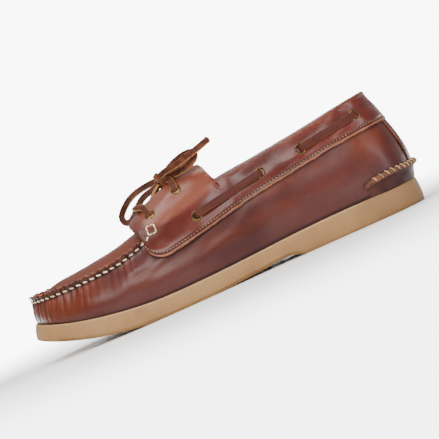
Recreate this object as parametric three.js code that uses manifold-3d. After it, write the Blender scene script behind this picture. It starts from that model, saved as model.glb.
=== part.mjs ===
// A left boat shoe: a hand-sewn moccasin on a moulded rubber sole, laced through the collar.
// Millimetres, +Z up, toe towards -Y, outer (lateral) side towards +X, origin on the floor under the middle.
// Shapes are worked out in shoe terms first: s along the length from the back of the sole, t sideways
// (outwards is positive) and z up from the floor.
import * as THREE from "three";
import { mergeVertices } from "three/addons/utils/BufferGeometryUtils.js";
import Module from "manifold-3d";

const wasm = await Module();
wasm.setup();

// ---- driving dimensions -------------------------------------------------------------------------
const SOLE_LENGTH = 300; // back of the heel to the tip of the toe, on the tread
const MIDDLE_S = 148.3; // the station that lies over the origin
const GAP = 0.3; // between pieces that touch
const WALL = 2.0; // leather of the upper and the plug
const LEDGE = 1.7; // rubber showing outside the foot of the upper
const STATION = 30; // spacing of the rows in the tables by length
const LIP = 4.5; // height of the two leather edges sewn together round the plug
const NO_LIP = 0.6; // where an edge is only cut

// Height of the sole's upper face at every STATION from the heel.
const SOLE_TOP = [17.4, 17.4, 17.4, 16.8, 15.4, 14.1, 13.5, 14.1, 17.4, 23.2, 32.2];
const HEEL_BREAST = 93; // the flat of the heel ends here
const ARCH_START = 109; // the arch is highest here
const ARCH_RISE = 3.5;
const BALL_FLAT = [173, 204]; // the forefoot rests on the floor between these
const TOE_SPRING = 20;

// Ribs round the shoe, from the back of the heel along the outer side, round the toe and back along the inner side.
// edge: the sole's upper edge; top: the upper's own top edge. flare and rise lead the leather out and up from its
// foot, lean and drop lead it into its top edge.
const RIB_COLUMNS = ["edgeS", "edgeT", "topS", "topT", "topZ", "flare", "rise", "lean", "drop"];
const RIBS = [
  [0, 0, 12, 0, 88, 9, 22, 8, 25],
  [9, 24, 19, 17.5, 87, 8, 22, 7, 25],
  [34, 35, 38, 26, 84.5, 6.5, 22, 5, 24],
  [70, 35.5, 70, 29.5, 80, 5.5, 22, 3.5, 22],
  [106, 37, 104, 30.5, 76, 5, 21, 3.5, 20],
  [142, 42.5, 138, 29.5, 72, 5, 19, 6, 16],
  [178, 49.5, 172, 31.5, 64.5, 5, 17, 9, 11],
  [211, 51, 207, 39, 50.5, 4.5, 15, 6.5, 8],
  [244, 45.5, 238, 36, 45.5, 3.5, 12, 4.5, 8],
  [270.5, 34, 265, 29.8, 44.8, 2, 9, 1.8, 7],
  [288.5, 17.5, 284, 16, 45.3, 1, 7, 1, 6],
  [296.5, -5, 292.6, -4.6, 46, 0.6, 6, 0.6, 5],
  [293.5, -26.5, 288.5, -23.5, 45.8, 1, 7, 1, 6],
  [276.5, -42, 270.5, -36, 45, 2, 9, 1.8, 7],
  [249, -50.5, 243, -39, 46, 3.5, 12, 5, 8],
  [215, -51, 211, -39.5, 50.5, 4.5, 15, 6.5, 8],
  [180, -45.5, 174, -31, 64.5, 5, 17, 9, 11],
  [145, -37.5, 140, -28.5, 72.5, 5, 19, 6, 16],
  [109, -34, 107, -28.5, 76, 5.5, 21, 3.5, 20],
  [71, -34.5, 71, -28, 80, 5.5, 22, 3.5, 22],
  [34, -34, 38, -25.5, 84.5, 6.5, 22, 5, 24],
  [9, -23.5, 19, -17.2, 87, 8, 22, 7, 25],
];
const RIB_COUNT = RIBS.length;
const RIB_STEPS = 3; // columns of facets from one rib to the next
const TOE_RIB = 11;

// The collar band with its lacing flaps. Its lower edge at every STATION, and its round front corner.
const BAND_LOW = [65.5, 63.7, 60.2, 56.2, 51.5, 45, 39.6, 36];
const CORNER_S = 183;
const BAND_FRONT = 198.5;
const CORNER_RISE = 12.5;
const BAND = 1.8; // thickness
const INSTEP_LIFT = 0.8; // more room under the flaps, where the leather bends most
const FLAP_STATION = 10;
const FLAP_START = 130; // station of the first row below
const FLAP_BACK = [133, 139]; // the flap rises out of the collar between these
const FLAP_COLUMNS = ["forward", "side", "height"]; // the flap's inner edge, for each rib's own top station
const FLAPS = [
  [3, 12, 86], [4, 9.5, 87.3], [5, 8, 86.5], [6, 7, 83.8],
  [6.5, 7.5, 80], [7, 8.5, 76], [7, 10, 71.5], [6, 11.5, 66],
];

// Middle line of the plug and of the tongue, at every STATION from 120.
const CROWN_START = 120;
const CROWN = [84, 80.5, 69, 60.6, 55.2, 52.6, 50];
const PLUG_BACK = 191; // hidden under the flaps
const PLUG_SPINE_END = 262; // the plug's ribs fan out from here round the toe
const PLUG = { steps: 36, foot: 0.9, spineInset: 6, sag: 2.2, across: [0, 0.2, 0.4, 0.6, 0.8, 0.93, 1] };
const TONGUE = { back: 142, half: 27, backHalf: 23.2, fall: 13, roundness: 2.1, thick: 1.8 };

const HEEL_TAB_REACH = 2.1; // ribs to either side of the heel's middle
// Height up the heel, and how far the tab stands out there.
const HEEL_TAB = [[18.2, 1.3], [23, 1.3], [26.6, 1.3], [27.2, 2.9], [28.9, 3.6], [30.4, 2.9], [31, 1.5]];
const INSOLE = { thick: 3, clear: 1.2 };
const EYELET = { flange: 4.2, hole: 2.3, barrel: 2.8, rise: 0.8 };
const EYELET_HOLE = EYELET.barrel + 0.35;
// Station and height of each eyelet on either side.
const COLLAR_EYELETS = [[24.5, 76], [70, 70], [102.5, 66], [156.5, 56.5]];
const FLAP_EYELETS = [[187, 70.5], [163, 79.5]];
const LACE = { wide: 4, thick: 2.4 };

// ---- helpers ------------------------------------------------------------------------------------
const clamp = (x, low = 0, high = 1) => Math.min(high, Math.max(low, x));
const mix = (a, b, f) => a + (b - a) * f;
const smooth = (x) => clamp(x) ** 2 * (3 - 2 * clamp(x));
const range = (from, to, steps) => Array.from({ length: steps + 1 }, (_, i) => mix(from, to, i / steps));
const point = (s, t, z) => new THREE.Vector3(s, t, z);

// A smooth function of the row number that passes through every value: a cubic B-spline with relaxed controls.
function through(values, closed = false) {
  const n = values.length;
  const at = (list, i) => {
    if (closed) return list[((i % n) + n) % n];
    if (i < 0) return 2 * list[0] - list[1];
    return i < n ? list[i] : 2 * list[n - 1] - list[n - 2];
  };
  let controls = [...values];
  for (let pass = 0; pass < 50; pass++)
    controls = values.map((v, i) => (6 * v - at(controls, i - 1) - at(controls, i + 1)) / 4);
  return (x) => {
    const i = Math.floor(x);
    const f = x - i;
    const [a, b, c, d] = [-1, 0, 1, 2].map((k) => at(controls, i + k));
    const middle = (3 * f ** 3 - 6 * f ** 2 + 4) * b + (-3 * f ** 3 + 3 * f ** 2 + 3 * f + 1) * c;
    return ((1 - f) ** 3 * a + middle + f ** 3 * d) / 6;
  };
}
const columns = (rows, names, closed) =>
  Object.fromEntries(names.map((name, k) => [name, through(rows.map((row) => row[k]), closed)]));

// Where a rising or falling function crosses a value.
function solve(f, target, from, to) {
  const rising = f(to) > f(from);
  for (let pass = 0; pass < 40; pass++) {
    const middle = (from + to) / 2;
    if (f(middle) < target === rising) from = middle;
    else to = middle;
  }
  return (from + to) / 2;
}

// Points along a polyline at equal shares of its length.
function respaced(line, steps) {
  const along = [0];
  for (let k = 1; k < line.length; k++) along.push(along[k - 1] + line[k].distanceTo(line[k - 1]));
  return range(0, along.at(-1), steps).map((d) => {
    const k = clamp(along.findIndex((a) => a >= d - 1e-9), 1, line.length - 1);
    return line[k - 1].clone().lerp(line[k], clamp((d - along[k - 1]) / (along[k] - along[k - 1])));
  });
}

// From shoe terms to the part's frame.
const placed = (p) => [p.y, MIDDLE_S - p.x, p.z];

// A closed mesh from triangles of points in shoe terms.
function solid(triangles) {
  const flat = triangles.filter(([a, b, c]) => a !== b && b !== c && c !== a).flat().flatMap(placed);
  let geometry = new THREE.BufferGeometry();
  geometry.setAttribute("position", new THREE.Float32BufferAttribute(flat, 3));
  geometry = mergeVertices(geometry, 1e-3);
  const used = [];
  const index = geometry.index.array;
  for (let k = 0; k < index.length; k += 3) {
    const [a, b, c] = index.slice(k, k + 3);
    if (a !== b && b !== c && c !== a) used.push(a, b, c);
  }
  geometry.setIndex(used);
  const p = geometry.attributes.position;
  const corner = (i) => new THREE.Vector3().fromBufferAttribute(p, i);
  let volume = 0;
  for (let k = 0; k < used.length; k += 3)
    volume += corner(used[k]).dot(corner(used[k + 1]).cross(corner(used[k + 2])));
  if (volume < 0) geometry.setIndex(used.reverse());
  return geometry;
}

// Two triangles for each cell of a grid of points.
function cells(grid, flip = false) {
  const found = [];
  for (let i = 0; i + 1 < grid.length; i++)
    for (let j = 0; j + 1 < grid[i].length; j++) {
      const [a, b, c, d] = [grid[i][j], grid[i + 1][j], grid[i + 1][j + 1], grid[i][j + 1]];
      found.push(...(flip ? [[a, c, b], [a, d, c]] : [[a, b, c], [a, c, d]]));
    }
  return found;
}

// A leather sheet with a thickness: outer and inner grids of the same size, closed round their edges.
function sheet(outer, inner, ring = false) {
  const last = outer[0].length - 1;
  const side = (j) => outer.map((row, i) => [row[j], inner[i][j]]);
  const parts = [...cells(outer), ...cells(inner, true), ...cells(side(0), true), ...cells(side(last))];
  if (!ring) {
    const end = (i) => outer[i].map((p, j) => [p, inner[i][j]]);
    parts.push(...cells(end(0)), ...cells(end(outer.length - 1), true));
  }
  return solid(parts);
}

// Unit normal, pointing out of the shoe, of a surface given by a function of two numbers.
function normalOf(surface, u, v, du = 0.02, dv = 0.01) {
  const along = surface(u + du, v).sub(surface(u - du, v));
  const up = surface(u, v + dv).sub(surface(u, v - dv));
  return along.cross(up).normalize().negate();
}

function toManifold(geometry) {
  const mesh = { numProp: 3, vertProperties: geometry.attributes.position.array };
  return new wasm.Manifold(new wasm.Mesh({ ...mesh, triVerts: new Uint32Array(geometry.index.array) }));
}
function fromManifold(manifold) {
  const { vertProperties, triVerts } = manifold.getMesh();
  const geometry = new THREE.BufferGeometry();
  geometry.setAttribute("position", new THREE.BufferAttribute(vertProperties, 3));
  return geometry.setIndex(new THREE.BufferAttribute(triVerts, 1));
}

// ---- the last: outline, sole heights and the wall of the upper ----------------------------------
const rib = columns(RIBS, RIB_COLUMNS, true);
const soleTopRow = through(SOLE_TOP);
const soleTop = (s) => soleTopRow(clamp(s / STATION, 0, SOLE_TOP.length - 1));
function soleBottom(s) {
  if (s > BALL_FLAT[1]) return TOE_SPRING * ((s - BALL_FLAT[1]) / (SOLE_LENGTH - BALL_FLAT[1])) ** 1.95;
  if (s > ARCH_START) return ARCH_RISE * clamp((BALL_FLAT[0] - s) / (BALL_FLAT[0] - ARCH_START)) ** 1.3;
  return ARCH_RISE * smooth((s - HEEL_BREAST) / (ARCH_START - HEEL_BREAST));
}

// The sole's upper edge at rib u, and the way out from it in plan.
const edge = (u) => point(rib.edgeS(u), rib.edgeT(u), 0);
function outward(u) {
  const along = edge(u + 0.05).sub(edge(u - 0.05));
  return point(-along.y, along.x, 0).normalize();
}

// The two sewn edges stand up only in front of the flaps.
const lipAt = (u) => mix(NO_LIP, LIP, smooth((rib.topS(u) - BAND_FRONT) / 5));

// The outer face of the upper: v runs from its foot at 0 to its top edge at 1, and to the top of the lip at 2.
function wall(u, v) {
  const out = outward(u);
  const foot = edge(u).addScaledVector(out, -LEDGE);
  foot.z = soleTop(foot.x) + GAP;
  const top = point(rib.topS(u), rib.topT(u), rib.topZ(u));
  if (v > 1) return top.add(point(0, 0, lipAt(u) * (v - 1)));
  const low = foot.clone().addScaledVector(out, rib.flare(u)).add(point(0, 0, rib.rise(u)));
  const high = top.clone().addScaledVector(out, rib.lean(u)).sub(point(0, 0, rib.drop(u)));
  return new THREE.CubicBezierCurve3(foot, low, high, top).getPoint(v);
}
const wallNormal = (u, v) => normalOf(wall, u, Math.max(v, 0.01));
const wallAtHeight = (u, z) => solve((v) => wall(u, v).z, z, 0, 1);

function upper() {
  const rows = [0, 0.1, 0.22, 0.36, 0.5, 0.64, 0.78, 0.9, 1, 2];
  const us = range(0, RIB_COUNT, RIB_COUNT * RIB_STEPS);
  const outer = us.map((u) => rows.map((v) => wall(u, v)));
  const inner = us.map((u) =>
    rows.map((v) => {
      const flat = v === 0 || v === 2;
      const p = wall(u, v).addScaledVector(wallNormal(u, Math.min(v, 0.97)), -WALL);
      if (flat) p.z = wall(u, v).z;
      return p;
    }),
  );
  return sheet(outer, inner, true);
}

// ---- sole and insole ----------------------------------------------------------------------------
// A plate between two outlines given by rib number: the outline's two sides are paired and joined across.
function plate(topOutline, bottomOutline, topHeight, bottomHeight, rim) {
  const across = range(0, 1, 4);
  const us = range(0, TOE_RIB, TOE_RIB * RIB_STEPS);
  const face = (outline, height) =>
    us.map((u) => {
      const [a, b] = [outline(u), outline(RIB_COUNT - u)];
      return across.map((f) => {
        const p = a.clone().lerp(b, f);
        p.z = height(p.x);
        return p;
      });
    });
  const around = range(0, RIB_COUNT, RIB_COUNT * RIB_STEPS).map((u) => {
    const [a, b] = [topOutline(u), bottomOutline(u)];
    a.z = topHeight(a.x);
    b.z = bottomHeight(b.x);
    return rim(a, b, outward(u));
  });
  const caps = [...cells(face(topOutline, topHeight)), ...cells(face(bottomOutline, bottomHeight), true)];
  return solid([...caps, ...cells(around, true)]);
}

// The tread's outline: the side wall stands square to the sole, so the toe's slope carries it forward.
function treadEdge(u) {
  const p = edge(u);
  const slope = (soleTop(p.x + 2) - soleTop(p.x - 2)) / 4;
  const forward = smooth((p.x - BALL_FLAT[1]) / 70) * slope * (soleTop(p.x) - soleBottom(p.x)) * 0.85;
  return point(p.x + forward, p.y, 0).addScaledVector(outward(u), 0.2);
}

function outsole() {
  const bulge = 0.7;
  const rim = (a, b, out) => [a, a.clone().lerp(b, 0.5).addScaledVector(out, bulge), b];
  return plate(edge, treadEdge, soleTop, soleBottom, rim);
}

function insole() {
  const inset = LEDGE + WALL + INSOLE.clear;
  const outline = (u) => edge(u).addScaledVector(outward(u), -inset);
  const bottom = (s) => soleTop(s) + GAP;
  const top = (s) => bottom(s) + INSOLE.thick;
  return plate(outline, outline, top, bottom, (a, b) => [a, b]);
}

// ---- plug and tongue ----------------------------------------------------------------------------
const crownRow = through(CROWN);
const crown = (s) => crownRow((s - CROWN_START) / STATION);
const ribAtTop = (s, side) => {
  const u = solve((x) => rib.topS(side > 0 ? x : RIB_COUNT - x), s, 4, TOE_RIB - 1);
  return side > 0 ? u : RIB_COUNT - u;
};

function plug() {
  const [first, last] = [ribAtTop(PLUG_BACK, 1), ribAtTop(PLUG_BACK, -1)];
  const us = range(first, last, PLUG.steps);
  const inward = (u, d) => {
    const along = wall(u + 0.05, 1).sub(wall(u - 0.05, 1)).setZ(0).normalize();
    return wall(u, 1).add(point(along.y, -along.x, 0).multiplyScalar(d));
  };
  const insetS = (k) => inward(us[k], PLUG.spineInset).x;
  const spineS = (k) => Math.min((insetS(k) + insetS(PLUG.steps - k)) / 2, PLUG_SPINE_END);
  const face = (edgeIn, drop) =>
    us.map((u, k) => {
      const side = inward(u, edgeIn);
      const spine = point(spineS(k), 0, 0);
      const foot = side.z + PLUG.foot - drop;
      const across = PLUG.across.map((r) => {
        const p = spine.clone().lerp(side, r);
        p.z = mix(Math.max(crown(p.x) - drop, foot), foot, r ** PLUG.sag);
        return p;
      });
      return [...across, point(side.x, side.y, side.z + lipAt(u))];
    });
  return sheet(face(2 * WALL + GAP, 0), face(WALL + 1.3 * GAP, WALL));
}

function tongue() {
  const front = PLUG_BACK - GAP;
  const surface = (drop) =>
    range(TONGUE.back, front, 7).map((s, k) =>
      range(-1, 1, 8).map((f) => {
        const half = k === 0 ? TONGUE.backHalf : TONGUE.half;
        return point(s, half * f, crown(s) - TONGUE.fall * Math.abs(f) ** TONGUE.roundness - drop);
      }),
    );
  return sheet(surface(0), surface(TONGUE.thick));
}

// ---- collar band with the lacing flaps -----------------------------------------------------------
const flap = columns(FLAPS, FLAP_COLUMNS);
const bandLowRow = through(BAND_LOW);
function bandLow(s) {
  const corner = clamp((s - CORNER_S) / (BAND_FRONT - CORNER_S + 0.4));
  return bandLowRow(Math.min(s, CORNER_S) / STATION) + CORNER_RISE * (1 - Math.sqrt(1 - corner ** 2));
}

// The section of the band at rib u, from its lower edge on the wall to the collar or to the flap's inner edge.
function bandSection(u, steps) {
  const s = rib.topS(u);
  const low = wallAtHeight(u, bandLow(s));
  const line = range(low, 1, 16).map((v) => wall(u, v));
  const top = line.at(-1);
  const row = (s - FLAP_START) / FLAP_STATION;
  const side = Math.sign(top.y || 1);
  const inner = point(s + flap.forward(row), side * flap.side(row), flap.height(row));
  const back = smooth((s - FLAP_BACK[0]) / (FLAP_BACK[1] - FLAP_BACK[0]));
  const front = 1 - 0.16 * clamp((s - BAND_FRONT + 5) / 5) ** 2;
  const reach = back * front;
  if (reach > 0.001) {
    const bend = point(mix(top.x, inner.x, 0.5), mix(top.y, inner.y, 0.35), mix(top.z, inner.z, 0.8));
    const over = new THREE.QuadraticBezierCurve3(top, bend, inner);
    line.push(...range(0, reach, 16).slice(1).map((f) => over.getPoint(f)));
  }
  return respaced(line, steps);
}

const BAND_ROWS = 6;
const BAND_BENDS = [134, 136, 139, 183, 187.5, 191.5, 194.5, 197]; // stations where its edges turn
const BAND_FINE = 60; // points worked out along each section
const BAND_ENDS = [ribAtTop(BAND_FRONT, -1) - RIB_COUNT, ribAtTop(BAND_FRONT, 1)];
function bandPoint(u, w) {
  const line = bandSection(u, BAND_FINE);
  const at = clamp(w) * BAND_FINE;
  const k = Math.min(Math.floor(at), BAND_FINE - 1);
  return line[k].clone().lerp(line[k + 1], at - k);
}
const bandNormal = (u, w) => {
  const [low, high] = [clamp(w - 0.03), clamp(w + 0.03)];
  const inside = clamp(u, BAND_ENDS[0] + 0.03, BAND_ENDS[1] - 0.03);
  const along = bandPoint(inside + 0.03, w).sub(bandPoint(inside - 0.03, w));
  return along.cross(bandPoint(u, high).sub(bandPoint(u, low))).normalize().negate();
};

const instepLift = (s) => INSTEP_LIFT * smooth((s - 122) / 8);

function band() {
  const step = 1 / RIB_STEPS;
  const [first, last] = BAND_ENDS;
  const whole = range(Math.ceil(first / step) * step, Math.floor(last / step) * step,
    Math.floor(last / step) - Math.ceil(first / step));
  const extra = [-1, 1].flatMap((side) =>
    BAND_BENDS.map((s) => {
      const u = ribAtTop(s, side);
      return side > 0 ? u : u - RIB_COUNT;
    }),
  );
  const sorted = [...whole, ...extra, first, last].sort((a, b) => a - b);
  const us = sorted.filter((u, k) => k === 0 || u - sorted[k - 1] > 0.02);
  const layer = (lift) =>
    us.map((u) => {
      const instep = instepLift(rib.topS(u));
      return range(0, 1, BAND_ROWS).map((w) => bandPoint(u, w).addScaledVector(bandNormal(u, w), instep + lift));
    });
  let made = toManifold(sheet(layer(GAP + BAND), layer(GAP)));
  for (const seat of eyeletSeats()) made = made.subtract(toManifold(eyeletCutter(seat)));
  return fromManifold(made);
}

// ---- eyelets -------------------------------------------------------------------------------------
// Where the band's surface has this station and height, as a place and the way out.
function seatAt(s, z, side) {
  const off = (u, w) => {
    const p = bandPoint(u, w);
    return (p.x - s) ** 2 + (p.z - z) ** 2;
  };
  let [u, w, du, dw] = [ribAtTop(clamp(s, 30, 190), side), 0.5, 1, 0.25];
  if (side < 0) u -= RIB_COUNT;
  for (let pass = 0; pass < 40; pass++) {
    const tries = [[u, w], [u + du, w], [u - du, w], [u, w + dw], [u, w - dw]].filter(
      ([a, b]) => a > BAND_ENDS[0] && a < BAND_ENDS[1] && b > 0.02 && b < 0.98,
    );
    const best = tries.sort((a, b) => off(...a) - off(...b))[0];
    if (best[0] === u && best[1] === w) [du, dw] = [du / 2, dw / 2];
    [u, w] = best;
  }
  const out = bandNormal(u, w);
  return { at: bandPoint(u, w).addScaledVector(out, GAP + BAND + instepLift(s)), out };
}
let seats = null;
function eyeletSeats() {
  seats ??= [1, -1].flatMap((side) => {
    const name = side > 0 ? "outer" : "inner";
    return [
      ...COLLAR_EYELETS.map(([s, z], k) => ({ ...seatAt(s, z, side), name: `eyelet_${name}_collar_${k + 1}` })),
      ...FLAP_EYELETS.map(([s, z], k) => ({ ...seatAt(s, z, side), name: `eyelet_${name}_flap_${k + 1}` })),
    ];
  });
  return seats;
}

// Turns a shape made round +Z into place on a seat, in the part's frame.
function onSeat(geometry, { at, out }) {
  const way = new THREE.Vector3(out.y, -out.x, out.z).normalize();
  const turn = new THREE.Quaternion().setFromUnitVectors(new THREE.Vector3(0, 0, 1), way);
  return geometry.applyQuaternion(turn).translate(...placed(at));
}
function welded(geometry) {
  geometry.deleteAttribute("normal");
  geometry.deleteAttribute("uv");
  return mergeVertices(geometry, 1e-4);
}
function lathe(profile, segments) {
  const points = profile.map(([r, z]) => new THREE.Vector2(r, z));
  return welded(new THREE.LatheGeometry(points, segments).rotateX(Math.PI / 2));
}
const eyeletCutter = (seat) =>
  onSeat(lathe([[0, -BAND - 3], [EYELET_HOLE, -BAND - 3], [EYELET_HOLE, 3], [0, 3]], 14), seat);
function eyelet(seat) {
  const { flange, hole, barrel, rise } = EYELET;
  const foot = -BAND + 0.1;
  const lip = [[flange, GAP], [flange - 0.5, rise], [hole + 0.5, rise + GAP]];
  const profile = [[hole, foot], [barrel, foot], [barrel, GAP], ...lip, [hole, foot]];
  return onSeat(lathe(profile, 10), seat);
}

// ---- heel tab ------------------------------------------------------------------------------------
function heelTab() {
  const [height, proud] = [0, 1];
  const us = range(-HEEL_TAB_REACH, HEEL_TAB_REACH, 16);
  const layer = (outside) =>
    us.map((u) => {
      const fade = smooth((HEEL_TAB_REACH - Math.abs(u)) / 0.4);
      return HEEL_TAB.map((row) => {
        const v = wallAtHeight(u, row[height]);
        const lift = outside ? mix(HEEL_TAB[0][proud], row[proud], fade) : 0;
        return wall(u, v).addScaledVector(wallNormal(u, v), GAP + lift);
      });
    });
  return sheet(layer(true), layer(false));
}

// ---- lace ----------------------------------------------------------------------------------------
// A lace along points in shoe terms, with a section of so many sides.
function laceTube(points, { wide = LACE.wide, thick = LACE.thick, sides = 8, step = 9 } = {}) {
  const curve = new THREE.CatmullRomCurve3(points.map((p) => new THREE.Vector3(...placed(p))));
  const section = new THREE.Shape();
  const angles = range(0, 2 * Math.PI, sides).slice(0, -1);
  section.setFromPoints(angles.map((a) => new THREE.Vector2((Math.cos(a) * thick) / 2, (Math.sin(a) * wide) / 2)));
  const steps = Math.max(4, Math.round(curve.getLength() / step));
  return welded(new THREE.ExtrudeGeometry(section, { steps, extrudePath: curve, bevelEnabled: false }));
}

// A stretch on the band from one eyelet to the next, clear of both flanges.
function sideLace(from, to, side) {
  const lift = EYELET.rise + 2 * GAP + LACE.thick / 2;
  const points = range(0, 1, 4).map((f) => {
    const { at, out } = seatAt(mix(from[0], to[0], f), mix(from[1], to[1], f), side);
    return at.addScaledVector(out, lift);
  });
  return laceTube(points, { wide: LACE.thick, thick: LACE.thick, step: 9 });
}

// Bow of the lace. Each part is a list of places: station, side, height.
const KNOT = [169, 0, 89];
const KNOT_RADII = [4.6, 5.2, 4.4];
const BIG_LOOP = [
  [172.5, -6.5, 91], [177, -13, 90.8], [184, -22, 90.2], [191, -32, 89], [198, -41, 86.5], [204.5, -47.5, 82],
  [209, -49.5, 76.5], [208.5, -46, 71], [203.5, -38, 71], [197, -29, 76.5], [190, -20, 82.2], [183, -12, 85],
  [177.5, -5.5, 86],
];
const SMALL_LOOP = [
  [165, 6, 93], [160, 9, 95], [153.5, 13.5, 96.8], [147, 18, 97.8], [142.5, 22.5, 97.3], [142, 25.5, 94.8],
  [146, 25, 92.6], [152, 21, 92], [158, 16, 91.6], [162, 11, 91],
];
const OUTER_END = [[171, 7.5, 92.3], [164, 15, 94.6], [156, 22.5, 95.6], [147, 28.5, 97.6], [137, 31.5, 100.2], [126, 34, 103.5]];
const INNER_END = [[163, -6.5, 92.5], [157, -14, 93.5], [151, -24, 94.6], [146.5, -34, 95.2], [143, -44, 95.5]];
const RISE = [[163.6, 17, 86.3], [164.6, 13.5, 87.9], [166, 9.5, 88.7], [167.3, 6, 89]];
const FRONT_BAR = [[189.5, 19.5, 76.4], [192.8, 16, 78], [195.5, 10, 78.8], [196, 0, 79]];
const vectors = (rows, side = 1) => rows.map(([s, t, z]) => point(s, t * side, z));

function knot() {
  const ball = new THREE.SphereGeometry(1, 14, 10).scale(...KNOT_RADII);
  return welded(ball.translate(...placed(point(...KNOT))));
}

// ---- the shoe ------------------------------------------------------------------------------------
const leather = (color, roughness) => new THREE.MeshStandardMaterial({ color, roughness, metalness: 0 });
const MATERIALS = {
  rubber: leather(0xb89468, 0.75),
  wrap: leather(0x6e3324, 0.42),
  plug: leather(0xa04a28, 0.45),
  lining: leather(0x8a5a3c, 0.8),
  lace: leather(0x7d4630, 0.7),
  brass: new THREE.MeshStandardMaterial({ color: 0x8a7350, roughness: 0.35, metalness: 1 }),
};

const shoe = new THREE.Group();
function add(name, geometry, material) {
  const mesh = new THREE.Mesh(geometry, material);
  mesh.name = name;
  shoe.add(mesh);
}

add("outsole", outsole(), MATERIALS.rubber);
add("insole", insole(), MATERIALS.lining);
add("upper", upper(), MATERIALS.wrap);
add("plug", plug(), MATERIALS.plug);
add("tongue", tongue(), MATERIALS.lining);
add("collar_band", band(), MATERIALS.wrap);
add("heel_tab", heelTab(), MATERIALS.wrap);
for (const seat of eyeletSeats()) add(seat.name, eyelet(seat), MATERIALS.brass);
for (const [name, side] of Object.entries({ outer: 1, inner: -1 })) {
  add(`lace_${name}_back`, sideLace(COLLAR_EYELETS[0], COLLAR_EYELETS[1], side), MATERIALS.lace);
  add(`lace_${name}_front`, sideLace(COLLAR_EYELETS[2], COLLAR_EYELETS[3], side), MATERIALS.lace);
}
const barPoints = [...vectors(FRONT_BAR), ...vectors(FRONT_BAR, -1).reverse().slice(1)];
add("lace_bar", laceTube(barPoints, { step: 6 }), MATERIALS.lace);
add("lace_knot", knot(), MATERIALS.lace);
add("lace_loop_inner", laceTube(vectors(BIG_LOOP)), MATERIALS.lace);
add("lace_loop_outer", laceTube(vectors(SMALL_LOOP)), MATERIALS.lace);
add("lace_end_outer", laceTube(vectors(OUTER_END)), MATERIALS.lace);
add("lace_end_inner", laceTube(vectors(INNER_END)), MATERIALS.lace);
add("lace_rise_outer", laceTube(vectors(RISE), { step: 4 }), MATERIALS.lace);
add("lace_rise_inner", laceTube(vectors(RISE, -1), { step: 4 }), MATERIALS.lace);

export default shoe;
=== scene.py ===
"""Looks of a left boat shoe: rubber sole, moccasin upper with a hand-sewn plug, a laced collar band and a leather bow.

Shapes are worked out in shoe terms, in millimetres: s along the length from the back of the sole, t sideways with the
outer side positive, and z up from the floor. place() turns them into the model's own metres.
"""

import math

import bmesh
import bpy
import numpy as np
from bpy.props import FloatProperty, FloatVectorProperty, PointerProperty
from bpy.types import Operator, Panel, PropertyGroup
from mathutils import Matrix, Vector


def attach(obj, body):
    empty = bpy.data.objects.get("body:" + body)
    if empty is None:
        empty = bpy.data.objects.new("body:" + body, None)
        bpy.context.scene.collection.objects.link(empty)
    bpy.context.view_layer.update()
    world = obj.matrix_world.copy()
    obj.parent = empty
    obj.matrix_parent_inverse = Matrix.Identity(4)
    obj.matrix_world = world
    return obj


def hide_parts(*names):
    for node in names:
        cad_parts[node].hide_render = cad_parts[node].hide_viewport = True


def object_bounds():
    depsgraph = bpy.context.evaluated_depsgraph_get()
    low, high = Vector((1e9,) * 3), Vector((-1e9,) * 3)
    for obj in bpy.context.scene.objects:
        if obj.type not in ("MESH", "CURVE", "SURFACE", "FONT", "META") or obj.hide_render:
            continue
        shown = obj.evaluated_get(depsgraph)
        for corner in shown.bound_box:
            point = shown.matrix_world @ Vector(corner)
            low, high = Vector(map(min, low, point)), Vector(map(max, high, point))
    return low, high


bl_info = {
    "name": "Boat shoe",
    "version": (1, 0, 0),
    "blender": (4, 5, 0),
    "location": "3D Viewport > Sidebar > Boat shoe",
    "description": "Builds the visible pieces of a left leather boat shoe round its packed model",
    "category": "Object",
}

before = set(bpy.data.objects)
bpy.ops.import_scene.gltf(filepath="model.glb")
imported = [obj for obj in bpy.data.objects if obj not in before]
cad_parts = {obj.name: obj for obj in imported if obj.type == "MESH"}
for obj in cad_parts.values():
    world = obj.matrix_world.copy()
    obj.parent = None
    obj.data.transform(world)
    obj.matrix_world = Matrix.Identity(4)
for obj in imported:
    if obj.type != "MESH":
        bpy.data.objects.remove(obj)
CAD_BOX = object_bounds()
BODY = "root"

# ---- the last, in millimetres -------------------------------------------------------------------------------------
MIDDLE_S = 148.3
SOLE_LENGTH = 300
GAP = 0.3
WALL = 2.0
LEDGE = 1.7
STATION = 30
LIP = 4.5
NO_LIP = 0.6
SOLE_TOP = [17.4, 17.4, 17.4, 16.8, 15.4, 14.1, 13.5, 14.1, 17.4, 23.2, 32.2]
HEEL_BREAST = 93
ARCH_START = 109
ARCH_RISE = 3.5
BALL_FLAT = (173, 204)
TOE_SPRING = 20

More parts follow.
